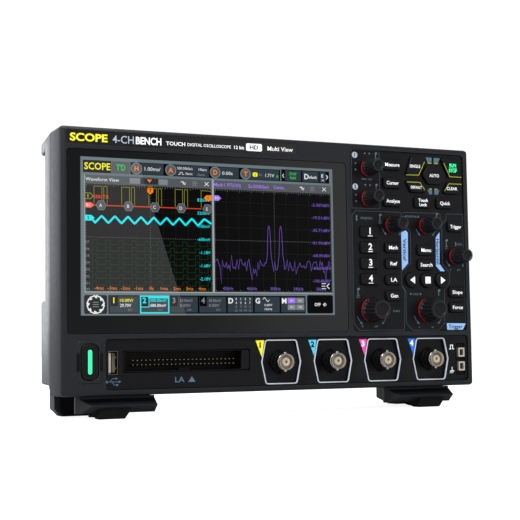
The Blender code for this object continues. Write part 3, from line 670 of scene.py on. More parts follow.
# Each key's words, their height and their width.
LEGENDS = {
    "measure": ("Measure", 2.2, 10.2), "cursor": ("Cursor", 2.2, 8.6), "analyse": ("Analyse", 2.2, 9.6),
    "quick": ("Quick", 2.2, 7.4), "math": ("Math", 2.2, 6.2), "reference": ("Ref", 2.2, 4.8),
    "logic": ("LA", 2.3, 4.4), "generator": ("Gen", 2.3, 5.2), "menu": ("Menu", 2.3, 7.0),
    "search": ("Search", 2.3, 8.6), "trigger": ("Trigger", 2.2, 8.2), "slope": ("Slope", 2.2, 7.4),
    "force": ("Force", 2.2, 7.4), "single": ("SINGLE", 1.9, 7.6), "auto": ("AUTO", 2.0, 7.0),
    "default": ("DEFAULT", 1.7, 7.8), "clear": ("CLEAR", 1.9, 7.8),
}
LEGEND_PLACES = {
    "single": (225.5, 12.3), "default": (226.1, 25.5), "clear": (252.3, 25.3), "auto": (239.4, 17.6),
    "run_stop": (253.3, 12.15),
}
ACCENTS = {
    "single": [(218.9, 18.0), (228.0, 17.8), (232.5, 9.2)],
    "run_stop": [(246.6, 9.2), (250.9, 17.8), (259.6, 17.8)],
    "default": [(219.4, 22.4), (228.8, 22.3), (232.2, 26.9)],
    "clear": [(246.9, 26.9), (250.1, 22.3), (259.5, 22.2)],
}


def draw_legend(marks, key, x, drop):
    if key in LEGENDS:
        marks.text(LEGENDS[key][0], x, drop, *LEGENDS[key][1:], bold=0.016, fine=3)
    elif key.startswith("channel_"):
        marks.text(key[-1], x, drop - 0.6, 4.0, bold=0.02, fine=4)
        marks.box(x - 1.6, x + 1.6, drop + 2.2, drop + 2.6)
    elif key == "touch_lock":
        marks.text("Touch", x, drop - 1.35, 2.0, 6.8, bold=0.022, fine=3)
        marks.text("Lock", x, drop + 1.35, 2.0, 5.6, bold=0.022, fine=3)
    elif key == "run_stop":
        marks.text("RUN", x, drop - 1.75, 2.1, 4.9, bold=0.03, fine=3)
        marks.text("STOP", x, drop + 1.75, 2.1, 6.0, bold=0.03, fine=3)
        marks.line([(x - 2.9, drop), (x + 2.9, drop)], 0.3)
    elif key == "stop":
        marks.box(x - 1.9, x + 1.9, drop - 2.1, drop + 2.1)
    else:
        marks.pointer(x, drop, -1 if key == "step_left" else 1, 2.0, 1.4, 2.3)


def make_keys():
    for node in sorted(n for n in NODES if n.startswith("key_")):
        key = node.removeprefix("key_")
        refined(node, f"keycap_{key}", FINISH["key"], bevel=0.3, segments=3, angle=28, smooth=40)
        legend = Marks(CAP_FACE)
        draw_legend(legend, key, *LEGEND_PLACES.get(key, middle(node)))
        ink = "green_light" if key == "run_stop" else "white_print"
        legend.made(f"legend_{key}", FINISH[ink], node, "key")
    for key, points in ACCENTS.items():
        accent = Marks(CAP_FACE)
        accent.line(points, 0.45)
        accent.made(f"accent_{key}", FINISH["olive_print"], f"key_{key}", "key")


NOSE = 0.77  # the tip's share of the skirt's radius
TIP_FACE = 0.66  # the flat face's share of the tip's radius


def knob_profile(skirt, tip, base):
    """A hollow tip, a fluted grip that widens to its neck, and a plain skirt with a groove behind it."""
    neck, nose = skirt * 0.93, skirt * NOSE
    flute = 0.06 * skirt + 0.14
    spread = neck - nose
    shaft_radius, shaft_end = 3.3, -5.0
    dish = ((0, 0.95), (0.4, 0.85), (0.58, 0.7), (TIP_FACE, 0.3), (0.7, 0.04))
    hollow = [(nose * share, tip + depth) for share, depth in dish]
    edge = [(nose * 0.78, tip, flute * 0.5), (nose * 0.88, tip + 0.1, flute), (nose * 0.98, tip + 0.3, flute)]
    widening = ((0, 0.7), (0.35, 4.0), (0.8, 8.4))
    grip = [(nose + spread * share, tip + depth, flute) for share, depth in widening]
    root = [(neck, base - 3.2, flute), (neck + 0.05, base - 2.6, flute * 0.35), (neck + 0.2, base - 2.2, 0.0)]
    rim = ((0.2, 1.75), (0.02, 1.5), (0, 1.3), (0, 0.85), (0.35, 0.8), (0.35, 0))
    foot = [(skirt - inset, base - front) for inset, front in rim]
    shaft = [(shaft_radius, base), (shaft_radius, shaft_end), (0, shaft_end)]
    return hollow + edge + grip + root + foot + shaft


def make_knobs():
    for node in sorted(n for n in NODES if n.startswith("knob_")):
        left, right, _, _, tip, base = place(node)
        centre = middle(node)
        skirt = (right - left) / 2
        bm = bmesh.new()
        lathe(bm, centre, knob_profile(skirt, tip, base), sides=144, flutes=18)
        obj = piece(node.replace("knob", "grip"), bm, [FINISH["knob"], FINISH["knob_face"]], node, 40)
        face_radius = skirt * NOSE * TIP_FACE * MM
        face_back = at(0, 0, tip + 1.05).y
        axis = at(*centre)
        paint(obj, lambda c: int((c - axis).xz.length < face_radius and c.y < face_back))
        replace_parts(obj, node)
        rings = ring_section(skirt - 0.32, skirt - 0.08, base - 0.72, base - 0.02)
        lofted(node.replace("knob", "ring"), centre, rings, FINISH["ring"], node, True, 40)


def ring_section(inner, outer, front, back):
    """The rings of a round band about the depth axis, with a rounded outer edge."""
    fillet = min(outer - inner, back - front) * 0.4
    section = (
        (inner, front), (outer - fillet, front), (outer - fillet * 0.3, front + fillet * 0.3),
        (outer, front + fillet), (outer, back), (inner, back),
    )
    return [(circle(radius, 72), depth) for radius, depth in section]


def make_power_button():
    refined("power_button", "power_cap", FINISH["key"], bevel=0.4, segments=3, angle=28)
    x, drop = centre = 16.4, 130.2
    face = place("power_button")[4]
    bar = rectangle(2.3, 13.4, 1.1, 6)
    rings = (
        (grown(bar, -0.25), face - 0.12), (grown(bar, -0.05), face - 0.06),
        (bar, face + 0.02), (bar, face + 0.3),
    )
    lofted("power_light", centre, rings, FINISH["green_light"], "power_button")
    outer, inner = rectangle(13.3, 23.1, 1.6), rectangle(10.4, 20.4, 3.9)
    rings = (
        (outer, 0.78), (outer, -0.12), (grown(outer, -0.25), -0.35),
        (grown(inner, 0.2), -0.35), (inner, -0.15), (inner, 0.78),
    )
    lofted("power_surround", centre, rings, FINISH["housing"], "base", closed=True)
    for name, a, b in (("left", x - 7.3, x - 5.6), ("right", x + 5.6, x + 7.3)):
        stop = (a, b, drop - 5.0, drop + 5.0, -0.42, 0.7, 0.15)
        boxes(f"power_stop_{name}", [stop], FINISH["socket"], "base")


# Sockets.


INPUT_DROP = 132.1
INPUT_X = [132.3 + 34.14 * i for i in range(4)]
HEX_HALF = (12.3, 9.7, 12.4)


def make_input_shell(name, centre, tip, body):
    """The outer sleeve with its two bayonet lugs, one above and one below."""
    sleeve = (
        (4.0, -4.4), (4.0, tip + 0.45), (4.15, tip + 0.1), (4.4, tip), (4.65, tip + 0.1), (4.8, tip + 0.4),
        (4.8, tip + 1.5), (4.62, tip + 1.7), (4.62, -4.9), (4.8, -4.7), (4.8, -4.4),
    )
    bm = bmesh.new()
    lathe(bm, centre, sleeve, 56)
    x, drop = centre
    for side, flip in ((-1, math.pi), (1, 0.0)):
        start = len(bm.verts)
        lug = Matrix.Translation(at(x, drop - side * 5.05, tip + 2.5)) @ Matrix.Rotation(flip, 4, "X")
        bmesh.ops.create_cone(
            bm, cap_ends=True, segments=18, radius1=0.85 * MM, radius2=0.75 * MM, depth=1.3 * MM, matrix=lug
        )
        bm.verts.ensure_lookup_table()
        edges = {e for v in bm.verts[start:] for e in v.link_edges if e.calc_face_angle(0) > 1}
        bmesh.ops.bevel(bm, geom=list(edges), offset=0.15 * MM, segments=2, profile=0.5, affect="EDGES")
    return piece(name, bm, FINISH["nickel"], body)


def make_inputs():
    tip = place("input_1")[4]
    insulator = (
        (0, tip + 2.2), (1.0, tip + 2.2), (1.0, tip + 1.25), (1.2, tip + 1.05), (2.1, tip + 1.05),
        (2.4, tip + 1.35), (2.4, -3.2), (3.96, -3.1), (3.96, 0.3), (0, 0.3),
    )
    contact = (
        (0, tip + 1.9), (0.25, tip + 1.9), (0.4, tip + 1.15), (0.85, tip + 1.1), (0.98, tip + 1.3),
        (0.98, tip + 2.1), (0, tip + 2.15),
    )
    collar = (
        (3.97, -4.4), (4.7, -4.6), (4.95, -4.45), (5.0, -4.2), (5.0, -0.9), (5.3, -0.7), (5.3, 1.0),
        (6.1, 1.1), (6.3, 1.35), (6.3, 2.85), (3.97, 2.85),
    )
    for number, x in enumerate(INPUT_X, 1):
        node = f"input_{number}"
        body = NODES[node]["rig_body"]
        centre = (x, INPUT_DROP)
        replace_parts(make_input_shell(f"input_shell_{number}", centre, tip, body), node)
        turned(f"input_insulator_{number}", centre, insulator, FINISH["insulator"], body, 36)
        turned(f"input_contact_{number}", centre, contact, FINISH["gold"], body, 20)
        bm = bmesh.new()
        lathe(bm, centre, collar, 48)
        for u, v in ((0, 5.9), (0, -5.9), (5.9, 0), (-5.9, 0)):
            drop = INPUT_DROP - v
            block(bm, x + u - 1.1, x + u + 1.1, drop - 1.1, drop + 1.1, 0.2, 2.85, 0.2)
        piece(f"input_collar_{number}", bm, FINISH["socket"], body)
        bm = bmesh.new()
        block(bm, x - 6.5, x + 6.5, INPUT_DROP - 6.5, INPUT_DROP + 6.5, 5.1, 17.3, 0.3)
        lathe(bm, centre, ((0, 1.6), (4.6, 1.6), (4.6, 5.3), (0, 5.3)), 32)
        piece(f"input_body_{number}", bm, FINISH["nickel"], body)


def make_hex_rims():
    outline = rounded(hexagon(*HEX_HALF), 1.3, 4)
    inner, outer = grown(outline, -0.05), grown(outline, 0.6)
    section = (
        (outer, 0.02), (outer, -0.2), (grown(outer, -0.15), -0.36),
        (grown(inner, 0.15), -0.36), (inner, -0.2), (inner, 0.5),
    )
    bm = bmesh.new()
    for x in INPUT_X:
        loft(bm, (x, INPUT_DROP), [(points, PANEL_FACE + depth) for points, depth in section], closed=True)
    piece("input_rims", bm, FINISH["rim"], "base")


def make_logic_header():
    refined("logic_header", "logic_shroud", FINISH["socket"], bevel=0.3)
    make_logic_pins()
    left, right, top, bottom = place("logic_header")[:4]
    x, drop = centre = (left + right) / 2, (top + bottom) / 2
    rim = rectangle(right - left - 0.1, bottom - top - 0.1, 1.6, 5)
    cavity = [(u + 71.9 - x, v + drop - 130.4) for u, v in rectangle(70.2, 10.4, 0.3, 5)]
    rings = (
        (rim, 2.5), (rim, 1.15), (grown(rim, -0.35), 0.86),
        (grown(cavity, 0.5), 0.86), (grown(cavity, 0.1), 1.3), (cavity, 2.5),
    )
    lofted("logic_frame", centre, rings, FINISH["fascia"], "base", closed=True)
    notch = (68.6, 75.2, 134.4, 135.5, 1.2, 6.5, 0.15)
    boxes("logic_key_notch", [notch], FINISH["socket"], "base")


def make_logic_pins():
    """Square pins with a tapered front, black as painted shade, with small glowing boxes on them as painted
    highlights.
    """
    pitch, columns = 2.54, 25
    shaded_shanks, glint_boxes = bmesh.new(), []
    front = at(0, 0, 6.6).y
    for i in range(columns):
        for row in (-1, 1):
            x, drop = 43.05 + pitch * i, 131.3 + row * pitch / 2
            start = len(shaded_shanks.verts)
            turn = Matrix.Rotation(math.pi / 2, 4, "X") @ Matrix.Rotation(math.pi / 4, 4, "Z")
            bmesh.ops.create_cone(
                shaded_shanks, cap_ends=True, segments=4, radius1=0.36 * MM, radius2=0.36 * MM, depth=5.2 * MM,
                matrix=Matrix.Translation(at(x, drop, 9.0)) @ turn,
            )
            shaded_shanks.verts.ensure_lookup_table()
            end = at(x, drop, 6.4)
            for v in shaded_shanks.verts[start:]:
                if v.co.y < front:
                    v.co = end + (v.co - end) * 0.8
            glint_boxes.append((x - 0.17, x + 0.17, drop - 0.45, drop - 0.11, 6.0, 6.5, 0.05))
    # The pins' shanks are black: painted shade for gold pins deep in the shroud.
    piece("logic_pin_shanks", shaded_shanks, FINISH["socket"], "base")
    # The small glowing boxes are painted highlights on the pins.
    boxes("logic_pin_tips", glint_boxes, FINISH["pin"], "base")


def make_usb_port():
    refined("usb_host_port", "usb_shell", FINISH["usb_rim"], bevel=0.12)
    left, right, top, bottom = place("usb_host_port")[:4]
    tongue = (left + 0.6, left + 1.9, top + 1.0, bottom - 1.0, 1.9, 12.5, 0.1)
    boxes("usb_tongue", [tongue], FINISH["insulator"], "base")
    strips = [top + 2.9 + 2.43 * i for i in range(4)]
    springs = (top + 3.6, bottom - 3.6)
    contacts = [(left + 1.92, left + 2.08, drop - 0.5, drop + 0.5, 2.3, 10.5, 0.04) for drop in strips]
    contacts += [(right - 1.5, right - 1.0, drop - 0.5, drop + 0.5, 1.6, 3.0, 0.1) for drop in springs]
    boxes("usb_contacts", contacts, FINISH["gold"], "base")
    walls = [
        (right - 0.62, right - 0.36, top + 0.4, bottom - 0.4, 1.6, 12.6, 0.05),
        (left + 0.4, right - 0.4, top + 0.36, top + 0.62, 1.6, 12.6, 0.05),
        (left + 0.4, right - 0.4, bottom - 0.62, bottom - 0.36, 1.6, 12.6, 0.05),
        (left + 0.4, right - 0.4, top + 0.4, bottom - 0.4, 12.7, 13.1, 0.05),
    ]
    boxes("usb_liner", walls, FINISH["socket"], "base")


def make_boards():
    """What stands before the main board is nickel. Behind it the parts are steel low down and dark above."""
    front, back = at(0, 0, 17.5).y, at(0, 0, 19.3).y
    sink = at(0, 95).z
    board, dark, steel, nickel = range(4)

    def main_board_part(c):
        if c.y < front:
            return nickel
        return board if c.y <= back else steel if c.z < sink else dark

    finish = [FINISH[name] for name in ("board", "socket", "steel", "nickel")]
    paint(refined("main_board", "main_board_assembly", finish, bevel=0.0), main_board_part)
    slot_floor = (253.1, 259.7, 122.8, 142.2, 1.5, 1.9, 0.1)
    boxes("probe_slot_floor", [slot_floor], FINISH["socket"], "base")
    keypad_back = at(0, 0, 8.7).y
    finish = [FINISH["board"], FINISH["steel"]]
    keypad = refined("keypad_board", "keypad_board_assembly", finish, bevel=0.0)
    paint(keypad, lambda c: int(c.y > keypad_back))


def make_inside():
    """The CAD's own shapes that show through openings keep their shape and get their finish."""
    kept = {
        "screen_glass": "glass", "control_panel": "fascia", "display_module": "steel", "chassis": "steel",
        "fan_frame": "fan", "fan_rotor": "fan",
    }
    kept.update({node: "steel" for node in NODES if node.startswith("encoder_shaft_")})
    for node, name in kept.items():
        materials = NODES[node].data.materials
        materials.clear()
        materials.append(FINISH[name])
    refined("socket_panel", "socket_fascia", FINISH["fascia"], bevel=0.2)


# Marks on the panels.


OPEN_LINES = (
    [(217.1, 42.0), (217.8, 41.3), (243.2, 41.1), (244.2, 42.0), (244.4, 46.0)],
    [
        (246.0, 89.4), (245.5, 110.3), (241.2, 114.3), (222.4, 114.3), (217.9, 110.0), (218.1, 90.4),
        (215.8, 87.0),
    ],
    [
        (246.0, 89.4), (250.1, 84.2), (250.0, 78.2), (245.0, 73.2), (245.0, 48.6), (248.2, 45.2),
        (248.7, 42.0), (249.4, 41.2), (261.0, 41.1),
    ],
    [(261.0, 41.1), (261.2, 110.0)],
)
CLOSED_LINES = (
    [
        (181.6, 4.3), (182.3, 3.6), (200.2, 3.6), (201.0, 4.4), (201.0, 38.9), (200.3, 39.7), (182.0, 39.7),
        (181.3, 39.0),
    ],
    [
        (181.3, 43.9), (184.0, 41.3), (215.3, 41.3), (216.0, 42.0), (216.2, 46.0), (222.1, 53.4),
        (222.0, 72.7), (215.1, 78.3), (215.0, 86.6), (217.2, 90.2), (216.4, 113.4), (215.6, 114.1),
        (185.0, 114.1), (181.3, 110.0),
    ],
)
BANNERS = (
    [(215.5, 53.9), (218.8, 52.4), (220.3, 53.9), (220.0, 73.0), (215.6, 77.2)],
    [(240.5, 56.4), (243.4, 53.0), (242.9, 72.9), (246.6, 77.5), (243.5, 77.5), (240.3, 74.3)],
    [(247.1, 110.1), (261.2, 110.3), (258.9, 114.2), (247.4, 114.2)],
)
# The four small blocks round the run keys, and the drop of the gold line on each.
RUN_BLOCKS = (
    ([(234.5, 6.0), (238.9, 6.0), (238.8, 9.0), (235.9, 9.0)], 9.5),
    ([(240.6, 6.0), (245.0, 6.1), (243.6, 9.0), (240.4, 9.0)], 9.5),
    ([(235.3, 26.4), (238.7, 26.4), (238.7, 29.3), (236.6, 29.3)], 25.9),
    ([(240.4, 26.4), (244.2, 26.4), (242.9, 29.3), (240.4, 29.3)], 25.9),
)
# Dim words: the words, their place, their height, their width and their weight.
PANEL_WORDS = (
    ("PAN / ADJ", 192.0, 21.6, 1.0, 7.0, 0.0),
    ("POSITION", 191.3, 45.7, 1.35, 8.0, 0.0),
    ("POSITION", 223.6, 43.7, 1.25, 6.6, 0.0),
    ("SCALE", 211.0, 102.4, 1.25, 4.6, 0.0),
    ("SCALE", 224.9, 91.9, 1.25, 4.0, 0.0),
    ("LEVEL", 258.4, 60.3, 1.2, 3.8, 0.0),
    ("V", 187.0, 111.7, 1.3, None, 0.01),
    ("mV", 196.7, 111.8, 1.3, None, 0.01),
    ("s", 227.0, 112.3, 1.3, None, 0.01),
    ("ns", 236.8, 112.4, 1.3, None, 0.01),
    ("V", 251.0, 76.6, 1.2, None, 0.01),
    ("mV", 256.9, 76.5, 1.2, None, 0.01),
)
# Pressing hands: the place of each, and whether the word for zero stands below it.
HANDS = (
    (200.7, 45.4, True), (241.6, 43.4, False), (184.4, 91.0, True), (241.8, 91.6, False), (248.3, 60.0, True),
)
# Curved arrows round the knobs: the knob's middle and the arrows' radius.
TURN_MARKS = (
    ((209.4, 49.2), 7.6), ((233.6, 49.0), 7.6), ((193.8, 101.8), 10.9), ((233.9, 101.8), 10.9),
    ((255.1, 68.1), 7.6),
)


def make_panel_marks():
    names = ("line_print", "dim_print", "sky_print", "slate_print", "olive_print", "grey_print")
    marks = {name: Marks() for name in names}
    line, dim, banner, slate, gold, disc = marks.values()
    for lines, closed in ((CLOSED_LINES, True), (OPEN_LINES, False)):
        for points in lines:
            line.line(points, 0.34, 0, closed)
    for points in BANNERS:
        banner.shape(points)
    words = Marks(PANEL_FACE - INK)
    words.text("Vertical", 217.9, 64.4, 2.4, 13.4, turn=-90, bold=0.018)
    words.text("Horizontal", 241.8, 65.2, 2.2, 16.0, turn=-90, bold=0.018)
    words.text("Trigger", 253.6, 112.2, 2.4, 10.4, bold=0.018)
    words.made("banner_words", FINISH["navy_print"])
    for number, drop in ((1, 7.0), (2, 26.5)):
        draw_multi_knob_marks(dim, disc, number, drop)
    for text, x, drop, cap, width, bold in PANEL_WORDS:
        dim.text(text, x, drop, cap, width, bold=bold)
    updown(dim, 184.4, 45.7)
    updown(dim, 255.2, 60.3, 0.8)
    for x, drop, side in ((221.6, 91.9, -1), (228.3, 91.9, 1), (219.2, 43.7, -1), (228.0, 43.7, 1)):
        dim.pointer(x, drop, side, 0.8, 0.2, 0.9)
    for x, drop, zero in HANDS:
        hand(dim, x, drop - 1.3)
        if zero:
            dim.text("ZERO", x, drop + 3.0, 0.8, 2.2)
            dim.box(x - 0.9, x + 0.9, drop + 1.6, drop + 2.0)
    for centre, radius in TURN_MARKS:
        for side in (-1, 1):
            turning(slate, centre, radius, side)
    for points, drop in RUN_BLOCKS:
        slate.shape(points)
        gold.box(points[3][0] + 0.1, points[2][0] - 0.1, drop - 0.35, drop + 0.35)
    for name, group in marks.items():
        group.made(f"panel_{name}", FINISH[name])


def draw_multi_knob_marks(dim, disc, number, drop):
    """The numbered disc, the hand and the small arrows beside one of the two upper knobs."""
    x = 183.9
    disc.disc(x, drop, 1.9)
    digit = Marks(PANEL_FACE - INK)
    digit.text(str(number), x, drop, 2.3, bold=0.04)
    digit.made(f"multi_digit_{number}", FINISH["navy_print"])
    hand(dim, 198.5, drop - 0.9)
    for arrow_x, side in ((190.9, -1), (194.3, 1)):
        dim.pointer(arrow_x, drop - 1.3, side, 0.7, 0.5, 0.7)
    for side in (-1, 1):
        y = drop + 7.0 + side * 2.0
        dim.shape([(x + 0.4, y + side * 0.7), (x - 0.2, y - side * 0.4), (x + 1.0, y - side * 0.4)])


def hand(marks, x, drop):
    """A small pressing hand: a finger, a fist and the mark it presses."""
    marks.box(x - 0.3, x + 0.2, drop + 0.2, drop + 1.4)
    fist = ((-0.6, -1.0), (1.0, -1.5), (1.2, -0.4), (0.3, 0.1), (-0.5, 0))
    marks.shape([(x + u, drop + v) for u, v in fist])
    marks.disc(x - 0.05, drop + 2.1, 0.42, 0, 12)


def updown(marks, x, drop, size=1.0):
    for side in (-1, 1):
        tail = drop + side * 0.7 * size
        marks.shape([(x, drop + side * 1.9 * size), (x - 0.8 * size, tail), (x + 0.8 * size, tail)])
    marks.box(x - 0.3 * size, x + 0.3 * size, drop - 0.5 * size, drop + 0.5 * size)


def turning(marks, centre, radius, side):
    """A curved arrow below a knob that ends in a head."""
    turns = [math.radians(a) for a in range(20, 50, 5)]
    points = [Vector(centre) + radius * Vector((side * math.cos(a), math.sin(a))) for a in turns]
    marks.line(points, 0.3)
    along = (points[-1] - points[-2]).normalized()
    across = Vector((-along.y, along.x)) * 0.75
    foot = points[-1] - along * 0.2
    marks.shape([points[-1] + along * 1.5, foot + across, foot - across])


def make_socket_marks():
    inks = ("yellow_print", "cyan_print", "pink_print", "blue_print")
    for number, (x, name) in enumerate(zip(INPUT_X, inks), 1):
        flag = Marks()
        flag.shape([(x - 16.3, 119.5), (x - 10.9, 119.4), (x - 12.5, 129.2)])
        flag.made(f"input_flag_{number}", FINISH[name])
        digit = Marks(PANEL_FACE - INK)
        digit.text(str(number), x - 13.5, 122.1, 3.5, bold=0.045, fine=4)
        digit.made(f"input_digit_{number}", FINISH["socket" if number < 3 else "white_print"])
    marks = Marks()
    marks.text("LA", 68.9, 140.9, 3.1, 5.6, bold=0.012, fine=4)
    marks.shape([(76.2, 139.2), (74.0, 142.4), (78.4, 142.4)])
    draw_usb_sign(marks)
    marks.made("socket_legends", FINISH["slate_print"])
    white = Marks()
    low, high = 126.2, 123.8
    white.line([(248.4, low), (249.4, low), (249.4, high), (251.0, high), (251.0, low), (252.0, low)], 0.5)
    white.line([(250.2, 137.4), (250.2, 139.9)], 0.4)
    white.line([(248.7, 139.9), (251.8, 139.9)], 0.4)
    for i in range(3):
        white.line([(249.1 + i, 140.0), (248.5 + i, 141.3)], 0.3)
    white.made("probe_legends", FINISH["white_print"])


def draw_usb_sign(marks):
    """The usual sign of a serial bus: a stem that forks to a disc and a square, and ends in a point."""
    marks.disc(26.2, 141.3, 0.75)
    marks.disc(31.6, 139.5, 0.55)
    marks.box(31.6, 32.7, 142.5, 143.5)
    marks.pointer(33.0, 141.3, 1, 1.5, 0.0, 0.7)
    for points in (
        [(26.2, 141.3), (33.4, 141.3)],
        [(27.9, 141.3), (29.6, 139.5), (31.3, 139.5)],
        [(28.9, 141.3), (30.6, 143.0), (31.9, 143.0)],
    ):
        marks.line(points, 0.34)


# The display.


LCD_LEFT, LCD_RIGHT, LCD_TOP, LCD_BOTTOM = 11.9, 167.7, 17.1, 104.5
PLOT_TOP, PLOT_BOTTOM = 0.168, 0.851
LEFT_PLOT = (0.0145, 0.4965)
RIGHT_PLOT = (0.5055, 0.9925)
SHEEN_LAYER = 9


def lcd(u, v):
    """The place on the front of a share of the display's width and height."""
    return LCD_LEFT + u * (LCD_RIGHT - LCD_LEFT), LCD_TOP + v * (LCD_BOTTOM - LCD_TOP)


class Display:
    """The picture on the screen, drawn in shares of its width and height, with widths in millimetres."""

    def __init__(self):
        self.inks = {name: Marks(GLASS_FACE) for name in SCREEN_INKS}

    def box(self, ink, u0, u1, v0, v1, layer, radius=0.0):
        (left, top), (right, bottom) = lcd(u0, v0), lcd(u1, v1)
        self.inks[ink].box(left, right, top, bottom, layer, radius)

    def outline(self, ink, u0, u1, v0, v1, width, layer):
        self.line(ink, [(u0, v0), (u1, v0), (u1, v1), (u0, v1)], width, layer, True)

    def line(self, ink, points, width, layer, closed=False):
        self.inks[ink].line([lcd(*p) for p in points], width, layer, closed)

    def shape(self, ink, points, layer):
        self.inks[ink].shape([lcd(*p) for p in points], layer)

    def text(self, ink, words, u, v, cap, span=None, layer=4, bold=0.0, anchor=0.5):
        width = span * (LCD_RIGHT - LCD_LEFT) if span else None
        self.inks[ink].text(words, *lcd(u, v), cap, width, layer, bold, 0.0, anchor)

    def disc(self, ink, u, v, radius, layer):
        self.inks[ink].disc(*lcd(u, v), radius, layer, 28)

    def tag(self, ink, u0, u1, v, height, side, layer):
        """A pointed tag that marks a level."""
        half = height / 2
        back, nose = (u0, u1) if side > 0 else (u1, u0)
        neck = nose - side * 0.011
        outline = [(back, v - half), (neck, v - half), (nose, v), (neck, v + half), (back, v + half)]
        self.shape(ink, outline, layer)

    def made(self):
        for name, marks in self.inks.items():
            material = screen_ink(f"display_{name}", colour(*SCREEN_INKS[name]))
            marks.made(f"display_{name}", material, "base", "glass")
        # Painted reflection: a clear film over the left of the display that adds a faint light.
        sheen = Marks(GLASS_FACE)
        sheen.shape([lcd(0.0, 0.0), lcd(0.21, 0.0), lcd(0.39, 1.0), lcd(0.0, 1.0)], SHEEN_LAYER)
        sheen.made("display_sheen", haze(), "base", "glass")


def draw_display():
    d = Display()
    d.box("border", -0.002, 1.002, -0.003, 1.003, 0)
    draw_toolbar(d)
    draw_headers(d)
    for u0, u1, centre in ((*LEFT_PLOT, 0.2575), (*RIGHT_PLOT, 0.751)):
        draw_grid(d, u0, u1, centre)
    draw_left_plot(d)
    draw_right_plot(d)
    draw_bottom_bar(d)
    d.made()


# Each word: ink, words, place, height, width, layer and weight.
TOOLBAR_WORDS = (
    ("yellow", "SCOPE", 0.060, 0.056, 3.9, 0.096, 2, 0.02),
    ("green", "T'D", 0.147, 0.057, 3.4, 0.034, 2, 0.02),
    ("orange", "H", 0.206, 0.058, 2.9, None, 5, 0.03),
    ("orange", "A", 0.337, 0.058, 2.9, None, 5, 0.03),
    ("orange", "D", 0.512, 0.058, 2.9, None, 5, 0.03),
    ("orange", "T", 0.635, 0.058, 2.9, None, 5, 0.03),
    ("white", "1.00ms/", 0.267, 0.057, 2.0, 0.060),
    ("white", "500.00kSa/s", 0.392, 0.042, 1.4, 0.060),
    ("white", "10kpts", 0.462, 0.044, 1.4, 0.032),
    ("white", "Norm", 0.408, 0.076, 1.4, 0.026),
    ("grey", "Auto", 0.456, 0.078, 1.4, 0.030),
    ("white", "0.00s", 0.561, 0.060, 1.9, 0.042),
    ("black", "1", 0.674, 0.060, 1.6, None, 5, 0.03),
    ("grey", "DC", 0.697, 0.060, 1.3, 0.014),
    ("white", "1.71V", 0.735, 0.061, 1.9, 0.036),
    ("green", "A", 0.766, 0.065, 1.8, None, 4, 0.02),
    ("green", "STOP", 0.832, 0.043, 1.6, 0.030, 4, 0.02),
    ("green", "RUN", 0.832, 0.070, 1.6, 0.024, 4, 0.02),
    ("white", "D", 0.890, 0.056, 3.2, None, 4, 0.02),
    ("white", "efault", 0.917, 0.059, 1.7, 0.034, 4, 0.01),
    ("white", "E", 0.958, 0.046, 2.0, None, 4, 0.02),
    ("white", "xt", 0.960, 0.075, 1.4),
)


def draw_toolbar(d):
    top, bottom = 0.018, 0.097
    d.box("black", 0.007, 0.111, top, bottom, 1)
    d.box("bar", 0.113, 0.180, top, bottom, 1)
    d.box("black", 0.183, 0.779, top, bottom, 1)
    d.box("black", 0.783, 0.988, top - 0.004, bottom, 1)
    for u0, u1 in ((0.222, 0.309), (0.352, 0.4865), (0.527, 0.607), (0.650, 0.773)):
        d.box("slate", u0, u1, top + 0.004, bottom - 0.004, 2)
    for u0, u1 in ((0.799, 0.866), (0.873, 0.941), (0.947, 0.972)):
        d.box("slate", u0, u1, top + 0.002, bottom - 0.006, 2)
    for u in (0.206, 0.337, 0.512, 0.635):
        d.disc("grey", u, 0.058, 3.3, 3)
        d.disc("bar", u, 0.058, 2.8, 4)
    d.box("yellow", 0.664, 0.684, 0.045, 0.074, 4, 0.8)
    low, high = 0.083, 0.069
    pulse = [(0.366, low), (0.373, low), (0.373, high), (0.382, high), (0.382, low), (0.389, low)]
    d.line("white", pulse, 0.25, 4)
    d.line("white", [(0.794, 0.045), (0.788, 0.058), (0.794, 0.071)], 0.35, 4)
    d.line("white", [(0.975, 0.040), (0.981, 0.054), (0.975, 0.068)], 0.5, 5)
    for row in TOOLBAR_WORDS:
        d.text(*row)


